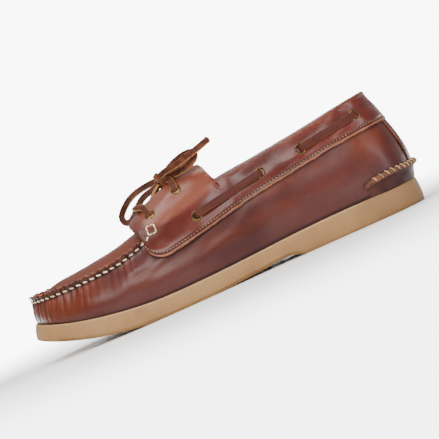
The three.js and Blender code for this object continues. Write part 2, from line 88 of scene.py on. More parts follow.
RIB_COLUMNS = ("edgeS", "edgeT", "topS", "topT", "topZ", "flare", "rise", "lean", "drop")
RIBS = [
    (0, 0, 12, 0, 88, 9, 22, 8, 25),
    (9, 24, 19, 17.5, 87, 8, 22, 7, 25),
    (34, 35, 38, 26, 84.5, 6.5, 22, 5, 24),
    (70, 35.5, 70, 29.5, 80, 5.5, 22, 3.5, 22),
    (106, 37, 104, 30.5, 76, 5, 21, 3.5, 20),
    (142, 42.5, 138, 29.5, 72, 5, 19, 6, 16),
    (178, 49.5, 172, 31.5, 64.5, 5, 17, 9, 11),
    (211, 51, 207, 39, 50.5, 4.5, 15, 6.5, 8),
    (244, 45.5, 238, 36, 45.5, 3.5, 12, 4.5, 8),
    (270.5, 34, 265, 29.8, 44.8, 2, 9, 1.8, 7),
    (288.5, 17.5, 284, 16, 45.3, 1, 7, 1, 6),
    (296.5, -5, 292.6, -4.6, 46, 0.6, 6, 0.6, 5),
    (293.5, -26.5, 288.5, -23.5, 45.8, 1, 7, 1, 6),
    (276.5, -42, 270.5, -36, 45, 2, 9, 1.8, 7),
    (249, -50.5, 243, -39, 46, 3.5, 12, 5, 8),
    (215, -51, 211, -39.5, 50.5, 4.5, 15, 6.5, 8),
    (180, -45.5, 174, -31, 64.5, 5, 17, 9, 11),
    (145, -37.5, 140, -28.5, 72.5, 5, 19, 6, 16),
    (109, -34, 107, -28.5, 76, 5.5, 21, 3.5, 20),
    (71, -34.5, 71, -28, 80, 5.5, 22, 3.5, 22),
    (34, -34, 38, -25.5, 84.5, 6.5, 22, 5, 24),
    (9, -23.5, 19, -17.2, 87, 8, 22, 7, 25),
]
RIB_COUNT = len(RIBS)
TOE_RIB = 11

BAND_LOW = [65.5, 63.7, 60.2, 56.2, 51.5, 45, 39.6, 36]
CORNER_S = 183
BAND_FRONT = 198.5
CORNER_RISE = 12.5
BAND = 1.8
INSTEP_LIFT = 0.8
FLAP_STATION = 10
FLAP_START = 130
FLAP_BACK = (133, 139)
FLAP_COLUMNS = ("forward", "side", "height")
FLAPS = [
    (3, 12, 86), (4, 9.5, 87.3), (5, 8, 86.5), (6, 7, 83.8),
    (6.5, 7.5, 80), (7, 8.5, 76), (7, 10, 71.5), (6, 11.5, 66),
]

CROWN_START = 120
CROWN = [84, 80.5, 69, 60.6, 55.2, 52.6, 50]
PLUG_BACK = 191
PLUG_SPINE_END = 262
TONGUE_BACK, TONGUE_HALF, TONGUE_FALL, TONGUE_THICK = 142, 27, 13, 1.8
HEEL_TAB_REACH = 2.1
INSOLE_THICK, INSOLE_CLEAR = 3, 1.2
UP = np.array([0.0, 0.0, 1.0])


def place(points):
    """Shoe terms in millimetres to the model's metres."""
    points = np.asarray(points, float)
    return np.stack([points[..., 1], MIDDLE_S - points[..., 0], points[..., 2]], -1) * 0.001


def smooth(x):
    """An eased rise from 0 to 1."""
    x = np.clip(x, 0, 1)
    return x * x * (3 - 2 * x)


def lerp(a, b, f):
    """The value a share f of the way from a to b."""
    return a + (b - a) * f


def unit(vectors):
    """The vectors, each at length 1."""
    return vectors / np.maximum(np.linalg.norm(vectors, axis=-1, keepdims=True), 1e-9)


def through(values, closed=False):
    """A smooth function of the row number that passes through every value."""
    values = np.asarray(values, float)
    count = len(values)
    rows = np.arange(count)

    def at(controls, i):
        if closed:
            return controls[i % count]
        first, last = 2 * controls[0] - controls[1], 2 * controls[-1] - controls[-2]
        return np.concatenate([[first], controls, [last]])[np.clip(i, -1, count) + 1]

    controls = values.copy()
    for _ in range(50):
        controls = (6 * values - at(controls, rows - 1) - at(controls, rows + 1)) / 4

    def curve(x):
        x = np.asarray(x, float)
        i = np.floor(x).astype(int)
        f = x - i
        a, b, c, d = (at(controls, i + k) for k in (-1, 0, 1, 2))
        middle = (3 * f**3 - 6 * f**2 + 4) * b + (-3 * f**3 + 3 * f**2 + 3 * f + 1) * c
        return ((1 - f) ** 3 * a + middle + f**3 * d) / 6

    return curve


def columns(rows, names, closed=False):
    """A smooth function of the row number for each named column."""
    return {name: through([row[k] for row in rows], closed) for k, name in enumerate(names)}


RIB = columns(RIBS, RIB_COLUMNS, closed=True)
FLAP = columns(FLAPS, FLAP_COLUMNS)
sole_top_row, band_low_row, crown_row = through(SOLE_TOP), through(BAND_LOW), through(CROWN)


def sole_top(s):
    """Height of the sole's upper edge at station s."""
    return sole_top_row(np.clip(s / STATION, 0, len(SOLE_TOP) - 1))


def sole_bottom(s):
    """Height of the tread at station s, with the arch and the toe's spring."""
    spring = TOE_SPRING * np.clip((s - BALL_FLAT[1]) / (SOLE_LENGTH - BALL_FLAT[1]), 0, 2) ** 1.95
    arch = ARCH_RISE * np.clip((BALL_FLAT[0] - s) / (BALL_FLAT[0] - ARCH_START), 0, 1) ** 1.3
    breast = ARCH_RISE * smooth((s - HEEL_BREAST) / (ARCH_START - HEEL_BREAST))
    return np.where(s > BALL_FLAT[1], spring, np.where(s > ARCH_START, arch, breast))


def crown(s):
    """Height of the middle line of the tongue and the plug at station s."""
    return crown_row((s - CROWN_START) / STATION)


def edge(u):
    """The sole's upper edge at rib u, on the floor plane."""
    s, t = RIB["edgeS"](u), RIB["edgeT"](u)
    return np.stack([s, t, np.zeros_like(s)], -1)


def outward(u):
    """The level way out of the shoe at rib u."""
    along = edge(u + 0.05) - edge(u - 0.05)
    return unit(np.stack([-along[..., 1], along[..., 0], np.zeros_like(along[..., 0])], -1))


def lip_height(u):
    """How far the upper's edge stands up above the seam at rib u."""
    return lerp(NO_LIP, LIP, smooth((RIB["topS"](u) - BAND_FRONT) / 5))


def wall(u, v):
    """The outer face of the upper: v from its foot at 0 to its top edge at 1."""
    u, v = np.broadcast_arrays(np.asarray(u, float), np.asarray(v, float))
    out = outward(u)
    foot = edge(u) - out * LEDGE
    foot[..., 2] = sole_top(foot[..., 0]) + GAP
    top = np.stack([RIB["topS"](u), RIB["topT"](u), RIB["topZ"](u)], -1)
    low = foot + out * RIB["flare"](u)[..., None] + UP * RIB["rise"](u)[..., None]
    high = top + out * RIB["lean"](u)[..., None] - UP * RIB["drop"](u)[..., None]
    v = v[..., None]
    return (1 - v) ** 3 * foot + 3 * (1 - v) ** 2 * v * low + 3 * (1 - v) * v**2 * high + v**3 * top


def wall_normal(u, v, du=0.02, dv=0.01):
    """The way out of the wall."""
    v = np.clip(v, 0.01, 0.985)
    along = wall(u + du, v) - wall(u - du, v)
    up = wall(u, v + dv) - wall(u, v - dv)
    return -unit(np.cross(along, up))


def solve(function, target, low, high):
    """Where a rising function meets a target, for arrays."""
    low, high = np.broadcast_arrays(np.asarray(low, float), np.asarray(high, float))
    low, high = low.copy(), high.copy()
    for _ in range(40):
        middle = (low + high) / 2
        below = function(middle) < target
        low, high = np.where(below, middle, low), np.where(below, high, middle)
    return (low + high) / 2


def wall_at_height(u, z):
    """Where on the wall rib u reaches height z."""
    return solve(lambda v: wall(u, v)[..., 2], z, 0, 1)


def rib_at(s, side):
    """The rib whose top edge is at station s, as a number that runs on through the heel."""
    if side > 0:
        return float(solve(RIB["topS"], s, 0.3, TOE_RIB - 1))
    return -float(solve(lambda x: RIB["topS"](RIB_COUNT - x), s, 0.3, TOE_RIB - 1))


def respaced(lines, steps, start=0.0, end=1.0):
    """Each polyline of an array, with points at equal shares of its length."""
    found = np.empty((len(lines), steps + 1, 3))
    for k, line in enumerate(lines):
        along = np.concatenate([[0], np.cumsum(np.linalg.norm(np.diff(line, axis=0), axis=1))])
        at = np.linspace(start, end, steps + 1) * along[-1]
        found[k] = np.stack([np.interp(at, along, line[:, c]) for c in range(3)], -1)
    return found


def grid_normals(points, out=-1):
    """The way out at each point of a grid."""
    along, up = np.gradient(points, axis=0), np.gradient(points, axis=1)
    return out * unit(np.cross(along, up))


def band_low(s):
    """Height of the band's lower edge at station s, with its round front corner."""
    corner = np.clip((s - CORNER_S) / (BAND_FRONT - CORNER_S + 0.4), 0, 1)
    return band_low_row(np.minimum(s, CORNER_S) / STATION) + CORNER_RISE * (1 - np.sqrt(1 - corner**2))


def instep_lift(s):
    """How much further the band stands off towards the instep."""
    return INSTEP_LIFT * smooth((s - 122) / 8)


def band_lines(us):
    """The band's sections on the shoe's own surface, from the lower edge to the collar or the flap's inner edge."""
    s = RIB["topS"](us)
    low = wall_at_height(us, band_low(s))
    on_wall = wall(us[:, None], low[:, None] + (1 - low[:, None]) * np.linspace(0, 1, 30))
    top = on_wall[:, -1]
    row = (s - FLAP_START) / FLAP_STATION
    side = np.where(top[:, 1] < 0, -1, 1)
    inner = np.stack([s + FLAP["forward"](row), side * FLAP["side"](row), FLAP["height"](row)], -1)
    back = smooth((s - FLAP_BACK[0]) / (FLAP_BACK[1] - FLAP_BACK[0]))
    front = 1 - 0.16 * np.clip((s - BAND_FRONT + 5) / 5, 0, 1) ** 2
    share = np.array([0.5, 0.35, 0.8])
    bend = top + (inner - top) * share
    f = (back * front)[:, None, None] * np.linspace(0, 1, 40)[None, 1:, None]
    over = (1 - f) ** 2 * top[:, None] + 2 * f * (1 - f) * bend[:, None] + f**2 * inner[:, None]
    return np.concatenate([on_wall, over], axis=1)


BAND_ENDS = (rib_at(BAND_FRONT, -1), rib_at(BAND_FRONT, 1))

# ---- the hand-sewn seam round the plug --------------------------------------------------------------------------
SEAM_FINE = 900
SEAM_END_S = 197.5
SEAM_FADE = 0.15
STITCH_PITCH = 5.6
LIP_SHARE = 0.9


class Seam:
    """The line where the plug is sewn to the vamp, measured along its length."""

    def __init__(self, pitch):
        self.u = np.linspace(rib_at(SEAM_END_S, 1), RIB_COUNT + rib_at(SEAM_END_S, -1), SEAM_FINE)
        self.points = wall(self.u, 1)
        steps = np.linalg.norm(np.diff(self.points, axis=0), axis=1)
        self.along = np.concatenate([[0], np.cumsum(steps)])
        self.length = self.along[-1]
        self.count = int(round(self.length / pitch))
        chance = np.random.RandomState(11)
        self.pull = chance.uniform(0.45, 1.15, self.count + 2)
        self.reach = chance.uniform(6.0, 15.0, self.count + 2)
        self.sway = chance.uniform(-0.35, 0.35, self.count + 2)

    def phase(self, u):
        """How many stitches from the outer end."""
        return np.interp(u % RIB_COUNT, self.u, self.along) / self.length * self.count

    def rib(self, phase):
        """The rib where a number of stitches from the outer end is reached."""
        return np.interp(np.asarray(phase) / self.count * self.length, self.along, self.u)

    def inside(self, u):
        """1 where the seam is sewn, fading at its two ends."""
        from_end = np.minimum(u % RIB_COUNT - self.u[0], self.u[-1] - u % RIB_COUNT)
        return smooth(from_end / SEAM_FADE)


SEAM = Seam(STITCH_PITCH)


def noise_line(x, seed, size=256):
    """Smooth noise from -1 to 1 along a line."""
    values = np.random.RandomState(seed).uniform(-1, 1, size)
    i = np.floor(x).astype(int)
    f = smooth(x - i)
    return lerp(values[i % size], values[(i + 1) % size], f)


def noise_sheet(x, y, seed, size=64):
    """Smooth noise from -1 to 1 over a sheet."""
    values = np.random.RandomState(seed).uniform(-1, 1, (size, size))
    i, j = np.floor(x).astype(int), np.floor(y).astype(int)
    f, g = smooth(x - i), smooth(y - j)
    low = lerp(values[i % size, j % size], values[(i + 1) % size, j % size], f)
    high = lerp(values[i % size, (j + 1) % size], values[(i + 1) % size, (j + 1) % size], f)
    return lerp(low, high, g)


# ---- meshes -----------------------------------------------------------------------------------------------------
NOTE = "shoe"  # a vertex attribute that the finishes read: three numbers, whose meaning each piece says
OUTSIDE, CUT, INSIDE = 0, 1, 2
MERGE = 2e-6


def turned(first, second, beyond, angles):
    """Points on a half round from first to second that bulges along beyond."""
    middle, arm = (first + second) / 2, (first - second) / 2
    size = np.linalg.norm(arm, axis=-1, keepdims=True)
    return [middle + arm * math.cos(a) + beyond * size * math.sin(a) for a in angles]


def shell(outer, inner, notes, ring=False, rims=(True, True), steps=4):
    """A leather sheet's closed skin: points, notes, and the kind of face between neighbours along and up."""
    along_kinds = np.zeros(len(outer) - 1, int)
    if not ring:
        quarter = [math.pi / 4, math.pi / 2]
        for end in (0, -1):
            beyond = unit(outer[end] - outer[1 if end == 0 else -2])
            fronts = turned(outer[end], inner[end], beyond, quarter)
            backs = turned(inner[end], outer[end], beyond, quarter)
            extra = [notes[end]] * 2
            if end == 0:
                outer = np.concatenate([fronts[::-1], outer])
                inner = np.concatenate([backs[::-1], inner])
                notes = np.concatenate([extra, notes])
            else:
                outer, inner = np.concatenate([outer, fronts]), np.concatenate([inner, backs])
                notes = np.concatenate([notes, extra])
        along_kinds = np.concatenate([[CUT, CUT], along_kinds, [CUT, CUT]])
    arcs = np.linspace(0, math.pi, steps + 1)[1:-1]

    def rim(row, beside):
        beyond = unit(outer[:, row] - outer[:, beside])
        return np.stack(turned(outer[:, row], inner[:, row], beyond, arcs), 1)

    last = outer.shape[1] - 1
    rows, marks = [outer], [notes]
    up_kinds = [OUTSIDE] * last
    if rims[1]:
        rows.append(rim(-1, -2))
        marks.append(np.repeat(notes[:, -1:], steps - 1, axis=1))
        up_kinds += [CUT] * steps
    else:
        up_kinds += [CUT]
    rows.append(inner[:, ::-1])
    marks.append(notes[:, ::-1])
    up_kinds += [INSIDE] * last
    if rims[0]:
        rows += [rim(0, 1)[:, ::-1], outer[:, :1]]
        marks += [np.repeat(notes[:, :1], steps, axis=1)]
        up_kinds += [CUT] * steps
    points, marks = np.concatenate(rows, axis=1), np.concatenate(marks, axis=1)
    kinds = np.maximum(np.array(up_kinds)[None, :], along_kinds[:, None])
    kinds = np.where((along_kinds[:, None] == CUT), CUT, kinds)
    return points, marks, kinds


def add_grid(bm, points, notes=None, kinds=None):
    """A grid in the mesh whose vertices are moved to these places, in shoe terms."""
    wide, high = points.shape[:2]
    layer = bm.verts.layers.float_vector.get(NOTE) or bm.verts.layers.float_vector.new(NOTE)
    first = len(bm.faces)
    made = bmesh.ops.create_grid(bm, x_segments=wide - 1, y_segments=high - 1, size=1)["verts"]
    flat = place(points).transpose(1, 0, 2).reshape(-1, 3).tolist()
    if notes is None:
        notes = np.zeros(points.shape)
    marks = notes.transpose(1, 0, 2).reshape(-1, 3).tolist()
    for vertex, at, mark in zip(made, flat, marks):
        vertex.co = at
        vertex[layer] = mark
    if kinds is not None:
        bm.verts.index_update()
        bm.faces.ensure_lookup_table()
        base = made[0].index
        for face in bm.faces[first:]:
            corner = min(v.index for v in face.verts) - base
            face.material_index = int(kinds[corner % wide, corner // wide])


def finish_piece(bm, name, looks, stands_for=()):
    """Closes the mesh's seams and makes it a piece of the shoe, with its finishes by name."""
    bmesh.ops.remove_doubles(bm, verts=bm.verts, dist=MERGE)
    bmesh.ops.recalc_face_normals(bm, faces=bm.faces)
    mesh = bpy.data.meshes.new(name)
    bm.to_mesh(mesh)
    bm.free()
    mesh.polygons.foreach_set("use_smooth", [True] * len(mesh.polygons))
    for look in looks:
        mesh.materials.append(finishes()[look])
    piece = bpy.data.objects.new(name, mesh)
    bpy.context.collection.objects.link(piece)
    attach(piece, BODY)
    if stands_for:
        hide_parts(*stands_for)
    return piece


def leather_piece(name, looks, slot, stands_for, outer, inner, notes, **how):
    """A piece made of one leather sheet. how says what shell does at its ends and rims."""
    bm = bmesh.new()
    add_grid(bm, *shell(outer, inner, notes, **how))
    return finish_piece(bm, name, looks, stands_for)


def run_along(grid):
    """Distance along each of the grid's lines from their first points."""
    steps = np.linalg.norm(np.diff(grid, axis=1), axis=-1)
    return np.concatenate([np.zeros((len(grid), 1)), np.cumsum(steps, 1)], 1)


def below_top(grid):
    """Distance along each of the grid's lines back from their last points."""
    return np.linalg.norm(np.diff(grid, axis=1), axis=-1).sum(1, keepdims=True) - run_along(grid)


def noted(*values, like):
    """Notes for a grid, from three arrays or numbers."""
    return np.stack([np.broadcast_to(v, like.shape[:2]) for v in values], -1)


def drawn(controls, spacing):
    """Points at a steady spacing on a smooth line through the controls."""
    controls = np.asarray(controls, float)
    rows = np.linspace(0, len(controls) - 1, len(controls) * 24)
    fine = np.stack([through(column)(rows) for column in controls.T], -1)
    length = np.linalg.norm(np.diff(fine, axis=0), axis=1).sum()
    return respaced(fine[None], max(3, int(round(length / spacing))))[0]


def strap(bm, line, across, wide, thick, sides=14, square=0.55, round_ends=0.6, mark=0.0):
    """A flat strap along a line. Notes: length so far, across from -1 to 1, and mark."""
    ways = unit(np.gradient(line, axis=0))
    across = unit(across - ways * (across * ways).sum(-1, keepdims=True))
    over = unit(np.cross(ways, across))
    along = np.concatenate([[0], np.cumsum(np.linalg.norm(np.diff(line, axis=0), axis=1))])
    wide, thick = np.broadcast_to(wide, len(line)), np.broadcast_to(thick, len(line))
    from_end = np.minimum(along, along[-1] - along)
    scale = np.sqrt(np.clip(1 - (1 - np.clip(from_end / max(round_ends, 1e-3), 0, 1)) ** 2, 0, 1))
    angles = np.linspace(0, 2 * math.pi, sides + 1)
    x, y = np.cos(angles), np.sin(angles)
    x, y = np.sign(x) * np.abs(x) ** square, np.sign(y) * np.abs(y) ** square
    x[-1], y[-1] = x[0], y[0]
    half, rise = (wide * scale / 2)[:, None, None], (thick * scale / 2)[:, None, None]
    points = line[:, None] + across[:, None] * x[None, :, None] * half + over[:, None] * y[None, :, None] * rise
    add_grid(bm, points, noted(along[:, None], x[None, :], mark, like=points))


def threads(bm, starts, ends, out, radius, bow=0.5, steps=6, sides=6, flat=0.8):
    """Short stitches of thread, each from a start to an end, arched a little along out."""
    f = np.linspace(0, 1, steps + 1)
    for first, last, up in zip(starts, ends, out):
        arch = (np.sin(f * math.pi) ** 0.6)[:, None] * up * bow
        line = first + (last - first) * f[:, None] + arch
        across = np.cross(last - first, up)
        strap(bm, line, np.repeat(across[None], steps + 1, 0), 2 * radius, 2 * radius * flat,
              sides=sides, square=1, round_ends=radius)


# ---- finishes ---------------------------------------------------------------------------------------------------
def tint(code):
    """A colour written as #rrggbb or held by a setting, as the linear values that a shader takes."""
    if not isinstance(code, str):
        return list(code)
    parts = [int(code[k:k + 2], 16) / 255 for k in (1, 3, 5)]
    return [p / 12.92 if p <= 0.04045 else ((p + 0.055) / 1.055) ** 2.4 for p in parts] + [1.0]


class Socket:
    """A node's output that sums can be written with."""

    def __init__(self, finish, output):
        self.finish, self.output = finish, output

    def math(self, operation, first, second):
        """One sum in a math node."""
        return self.finish.node("ShaderNodeMath", {"operation": operation}, {0: first, 1: second})

    def __add__(self, other):
        return self.math("ADD", self, other)

    def __sub__(self, other):
        return self.math("SUBTRACT", self, other)

    def __rsub__(self, other):
        return self.math("SUBTRACT", other, self)

    def __mul__(self, other):
        return self.math("MULTIPLY", self, other)

    def __truediv__(self, other):
        return self.math("DIVIDE", self, other)

    def __pow__(self, other):
        return self.math("POWER", self, other)

    def lowest(self, other):
        """The smaller of this and the other."""
        return self.math("MINIMUM", self, other)

    def highest(self, other):
        """The larger of this and the other."""
        return self.math("MAXIMUM", self, other)

    __radd__, __rmul__ = __add__, __mul__


class Nodes:
    """A tree of shader nodes being wired."""

    def __init__(self, tree, place):
        self.tree = tree
        self.place = self.node("ShaderNodeTexCoord", output=place)

    def node(self, kind, settings=None, values=None, output=0):
        """Any node, with its settings and then the values of its inputs."""
        made = self.tree.nodes.new(kind)
        for key, value in (settings or {}).items():
            setattr(made, key, value)
        for key, value in (values or {}).items():
            self.put(made.inputs[key], value)
        return Socket(self, made.outputs[output])

    def put(self, entry, value):
        """Links a socket to an input, or writes a plain value into it."""
        if isinstance(value, Socket):
            self.tree.links.new(value.output, entry)
        else:
            entry.default_value = value

    def noise(self, scale, detail=3.0, roughness=0.55, stretch=None, kind="FBM", distortion=0.0):
        """Cloudy noise from 0 to 1."""
        where = self.place
        if stretch:
            where = self.node("ShaderNodeVectorMath", {"operation": "MULTIPLY"}, {0: where, 1: stretch})
        values = {"Vector": where, "Scale": scale, "Detail": detail, "Roughness": roughness, "Distortion": distortion}
        return self.node("ShaderNodeTexNoise", {"noise_type": kind}, values)

    def pores(self, scale):
        """Distance to the edges between small cells."""
        values = {"Vector": self.place, "Scale": scale}
        return self.node("ShaderNodeTexVoronoi", {"feature": "DISTANCE_TO_EDGE"}, values)

    def step(self, value, low, high):
        """0 below low and 1 above high, eased between them."""
        return self.node("ShaderNodeMapRange", {"interpolation_type": "SMOOTHSTEP"}, {0: value, 1: low, 2: high})

    def blend(self, factor, first, second, mode="MIX"):
        """The first colour turning into the second as the factor rises."""
        settings = {"data_type": "RGBA", "blend_type": mode}
        return self.node("ShaderNodeMix", settings, {0: factor, 6: first, 7: second}, output=2)

    def split(self, vector):
        """A vector's three numbers."""
        first = self.node("ShaderNodeSeparateXYZ", {}, {0: vector})
        return [Socket(self, output) for output in first.output.node.outputs]

    def notes(self):
        """The three numbers that a mesh carries for its finish."""
        return self.split(self.node("ShaderNodeAttribute", {"attribute_name": NOTE}, output="Vector"))

    def axes(self):
        """The place's three coordinates."""
        return self.split(self.place)


class Finish(Nodes):
    """A material being made."""

    def __init__(self, name, **constants):
        self.material = bpy.data.materials.new(name)
        self.material.use_nodes = True
        super().__init__(self.material.node_tree, "Object")
        self.shader = self.tree.nodes["Principled BSDF"]
        self.set(**constants)

    def set(self, **values):
        """Inputs of the main shader, by their names with underscores."""
        for key, value in values.items():
            self.put(self.shader.inputs[key.replace("_", " ").title().replace("Ior", "IOR")], value)

    def bump(self, height, distance, strength=1.0):
        """Relief in a height, over a distance in metres."""
        self.set(normal=self.node("ShaderNodeBump", {}, {"Strength": strength, "Distance": distance, "Height": height}))


def waxed_leather(name, deep, body, glow, warm, worn_and_sheen, gloss=0.36, coat=0.3):
    """Smooth waxed leather with a soft shine. Notes: x is how much paler it is, for wear and as painted highlight and
    sheen, y how warm in tone and z how dark, mostly as painted shade.
    """
    finish = Finish(name, specular_ior_level=0.12, coat_ior=1.45, coat_roughness=gloss)
    rubbed_and_sheen, warmth, dark = finish.notes()
    cloud = finish.noise(14, 3, 0.5)
    streak = finish.noise(38, 4, 0.6, stretch=(1.0, 0.55, 1.4))
    fine = finish.noise(150, 3, 0.6)
    colour = finish.blend(finish.step(cloud + (streak - 0.5) * 0.5, 0.28, 0.7), tint(body), tint(glow))
    colour = finish.blend(finish.step(warmth + (streak - 0.5) * 0.5, 0.1, 0.95), colour, tint(warm))
    # Paler for wear and for painted highlight and sheen; then deeper for painted shade.
    colour = finish.blend(finish.step(rubbed_and_sheen + (fine - 0.5) * 0.3, 0.15, 1.0) * 0.8, colour, tint(worn_and_sheen))
    colour = finish.blend(finish.step(dark + (streak - 0.5) * 0.4, 0.05, 1.0), colour, tint(deep))
    grain = finish.pores(950)
    creases = finish.noise(75, 5, 0.6, kind="RIDGED_MULTIFRACTAL")
    finish.set(
        base_color=colour,
        roughness=(fine - 0.5) * 0.14 + (streak - 0.5) * 0.18 + dark * 0.2 + gloss,
        coat_weight=(
            (finish.step(finish.noise(30, 3), 0.3, 0.7) * 0.5 + 0.5)
            * (dark * -0.6 + 1) * (warmth * -0.65 + 1) * coat),
    )
    finish.bump(grain.lowest(0.18) * 0.7 + fine * 0.18 + creases * 0.03 + streak * 0.5, 0.0004, 0.5)
    return finish.material


def suede(name, deep, body, roughness=0.92):
    """Brushed leather: matt, with a short uneven nap."""
    finish = Finish(name, roughness=roughness, sheen_weight=0.25, sheen_roughness=0.5)
    nap = finish.noise(420, 4, 0.7)
    patches = finish.noise(28, 4, 0.6)
    finish.set(base_color=finish.blend(finish.step(nap * 0.5 + patches * 0.6, 0.38, 0.72), tint(deep), tint(body)))
    finish.bump(nap + patches * 0.4, 0.0003, 0.6)
    return finish.material


def cut_edge(name, deep, body):
    """The raw edge of cut leather: pale fibres with darker flecks of dye."""
    finish = Finish(name, roughness=0.85)
    flecks = finish.noise(300, 5, 0.75)
    blotches = finish.noise(70, 3, 0.6)
    finish.set(base_color=finish.blend(finish.step(flecks * 0.55 + blotches * 0.5, 0.38, 0.66), tint(deep), tint(body)))
    finish.bump(flecks, 0.0004, 0.8)
    return finish.material


def lace_leather(name, deep, body, side, dark):
    """A cut leather lace: dyed faces and paler cut sides. Notes: y is the place across it, z how dark it is."""
    finish = Finish(name, specular_ior_level=0.1)
    _, across, shade = finish.notes()
    grain = finish.noise(260, 4, 0.7)
    patches = finish.noise(48, 3, 0.6)
    colour = finish.blend(finish.step(grain * 0.5 + patches * 0.6, 0.4, 0.7), tint(deep), tint(body))
    rim = finish.step(across * across + (grain - 0.5) * 0.25, 0.6, 0.95)
    colour = finish.blend(shade, finish.blend(rim * 0.8, colour, tint(side)), tint(dark))
    finish.set(base_color=colour, roughness=(grain - 0.5) * 0.25 + 0.6 - shade * 0.16)
    finish.bump(grain + finish.noise(900, 2) * 0.3, 0.0003, 0.6)
    return finish.material


def waxed_thread(name, deep, body):
    """Twisted waxed thread. Notes: x runs along it and y across it, so the twist slants."""
    finish = Finish(name, roughness=0.62, sheen_weight=0.15)
    along, across, _ = finish.notes()
    phase = along * 7.5 + across * 1.4
    twist = finish.node("ShaderNodeMath", {"operation": "SINE"}, {0: phase})
    dirt = finish.noise(160, 3, 0.6)
    finish.set(base_color=finish.blend(finish.step(dirt + twist * 0.12, 0.3, 0.6), tint(deep), tint(body)))
    finish.bump(twist, 0.00012, 0.7)
    return finish.material


def moulded_rubber(name, deep, body, edge_highlight, heel_tone):
    """Tan moulded rubber, slightly mottled. Notes: x is how pale it is, a painted highlight along its upper edge, and y
    how far it darkens towards the heel.
    """
    finish = Finish(name, specular_ior_level=0.35)
    cloud = finish.noise(26, 4, 0.6)
    fleck = finish.noise(500, 3, 0.7)
    rim, heel_darkening, _ = finish.notes()
    colour = finish.blend(finish.step(cloud * 0.8 + fleck * 0.2, 0.3, 0.7), tint(deep), tint(body))
    # Darker towards the heel.
    colour = finish.blend(heel_darkening, colour, tint(heel_tone))
    # Painted highlight along the sole's upper edge.
    colour = finish.blend(finish.step(rim + (cloud - 0.5) * 0.4, 0.55, 0.95) * 0.7, colour, tint(edge_highlight))
    finish.set(base_color=colour, roughness=(fleck - 0.5) * 0.2 + 0.62)
    finish.bump(fleck + cloud * 0.5, 0.00025, 0.5)
    return finish.material


def old_brass(name, body):
    """Brass eyelets with a dull brown cast in their hollows."""
    finish = Finish(name)
    spots = finish.noise(700, 4, 0.65)
    finish.set(
        base_color=finish.blend(finish.step(spots, 0.35, 0.7), tint("#54401f"), tint(body)),
        metallic=0.9,
        roughness=spots * 0.3 + 0.22,
    )
    finish.bump(spots, 0.0001, 0.4)
    return finish.material


FINISHES = {}


def finishes():
    """Every finish, made once."""
    if not FINISHES:
        colours = bpy.context.scene.shoe_colours
        FINISHES.update(
            quarter=waxed_leather(
                "quarter_leather", "#100301", colours.quarter, "#421813", "#50200f", "#7d412f", gloss=0.33, coat=0.45),
            plug=waxed_leather(
                "plug_leather_looks", "#240a03", colours.plug, "#56210c", "#5a250e", "#7a4022", gloss=0.4, coat=0.16),
            band=waxed_leather(
                "band_leather", "#120401", colours.band, "#501a10", "#68382a", "#93603a", gloss=0.26, coat=0.5),
            heel=waxed_leather(
                "heel_leather_looks", "#0e0302", colours.heel, "#44190f", "#58240f", "#6a3820", gloss=0.36, coat=0.4),
            flap=waxed_leather(
                "tongue_leather", "#180703", "#4a1d0e", "#582814", "#623013", "#744020", gloss=0.5, coat=0.15),
            cut=cut_edge("cut_edge", "#3c160a", "#7a4226"),
            dark_cut=cut_edge("dyed_edge", "#2c0f07", "#6e3c22"),
            flesh=cut_edge("flesh_side", "#2a0e08", "#4a2014"),
            ridge=cut_edge("ridge_edge", "#2a1006", "#5c3119"),
            lining=suede("lining_suede", "#2e1e10", "#553b22"),
            insole=suede("insole_leather", "#3f2814", "#6a4a2a", 0.7),
            lace=lace_leather("lace_leather_looks", "#2e140b", colours.lace, "#946840", "#3a1612"),
            thread=waxed_thread("waxed_thread", "#947750", colours.thread),
            dull_thread=waxed_thread("dull_thread", "#6e5030", "#b49566"),
            fine_thread=waxed_thread("fine_thread", "#5c3a1e", "#94703f"),
            rubber=moulded_rubber("sole_rubber_looks", "#7a5833", colours.rubber, "#a8845a", "#5f4529"),
            brass=old_brass("brass_eyelet", colours.brass),
            # Near-black: painted shade across the eyelets' openings.
            hole=suede("eyelet_hole_shade", "#070403", "#120a07"),
        )
    return FINISHES


# ---- pieces -----------------------------------------------------------------------------------------------------
STITCH_COLUMNS = 10


def seam_ribs(per_stitch=STITCH_COLUMNS):
    """Ribs at even steps along the sewn seam."""
    return SEAM.rib(np.linspace(0, SEAM.count, SEAM.count * per_stitch + 1))


# Soft creases on the outer and inner quarter: station and height of each end, depth and width.
CREASES = [
    (118, 47, 176, 33, 0.55, 5.0), (150, 50, 196, 28, 0.5, 4.0), (96, 42, 140, 30, 0.4, 6.0),
    (176, 44, 208, 26, 0.55, 3.6), (188, 46, 222, 30, 0.5, 3.0), (60, 54, 104, 44, 0.35, 6.0),
    (128, 26, 168, 22, 0.35, 4.0), (40, 36, 76, 30, 0.3, 6.0),
]


# Places where the leather is warmer in tone: station, height, reach along and up, and how much.
WARM = [(24, 60, 15, 16, 1.0), (100, 38, 30, 8, 0.45), (150, 34, 26, 8, 0.6), (262, 34, 26, 12, 0.8),
        (290, 40, 16, 16, 0.5), (205, 32, 20, 8, 0.5), (60, 40, 24, 8, 0.35)]

# Station, height and reach along and up: a painted sheen under the band, and the calm rear corner of each flap.
SHEEN = (95, 53, 55, 8)
CALM_CORNER = (136, 72, 9, 9)

# Ribs at the toe's two corners, where the pleats are deepest, and their reach.
TOE_CORNERS, CORNER_REACH = (9.7, 12.6), 1.2


def spot(points, station, height, along, high):
    """1 at this station and height, fading out over a reach along and up."""
    return np.exp(-(((points[..., 0] - station) / along) ** 2) - ((points[..., 2] - height) / high) ** 2)


def warmth(points):
    """How warm in tone the leather is at these points, from 0 to 1."""
    return np.clip(sum(much * spot(points, *where) for *where, much in WARM), 0, 1)


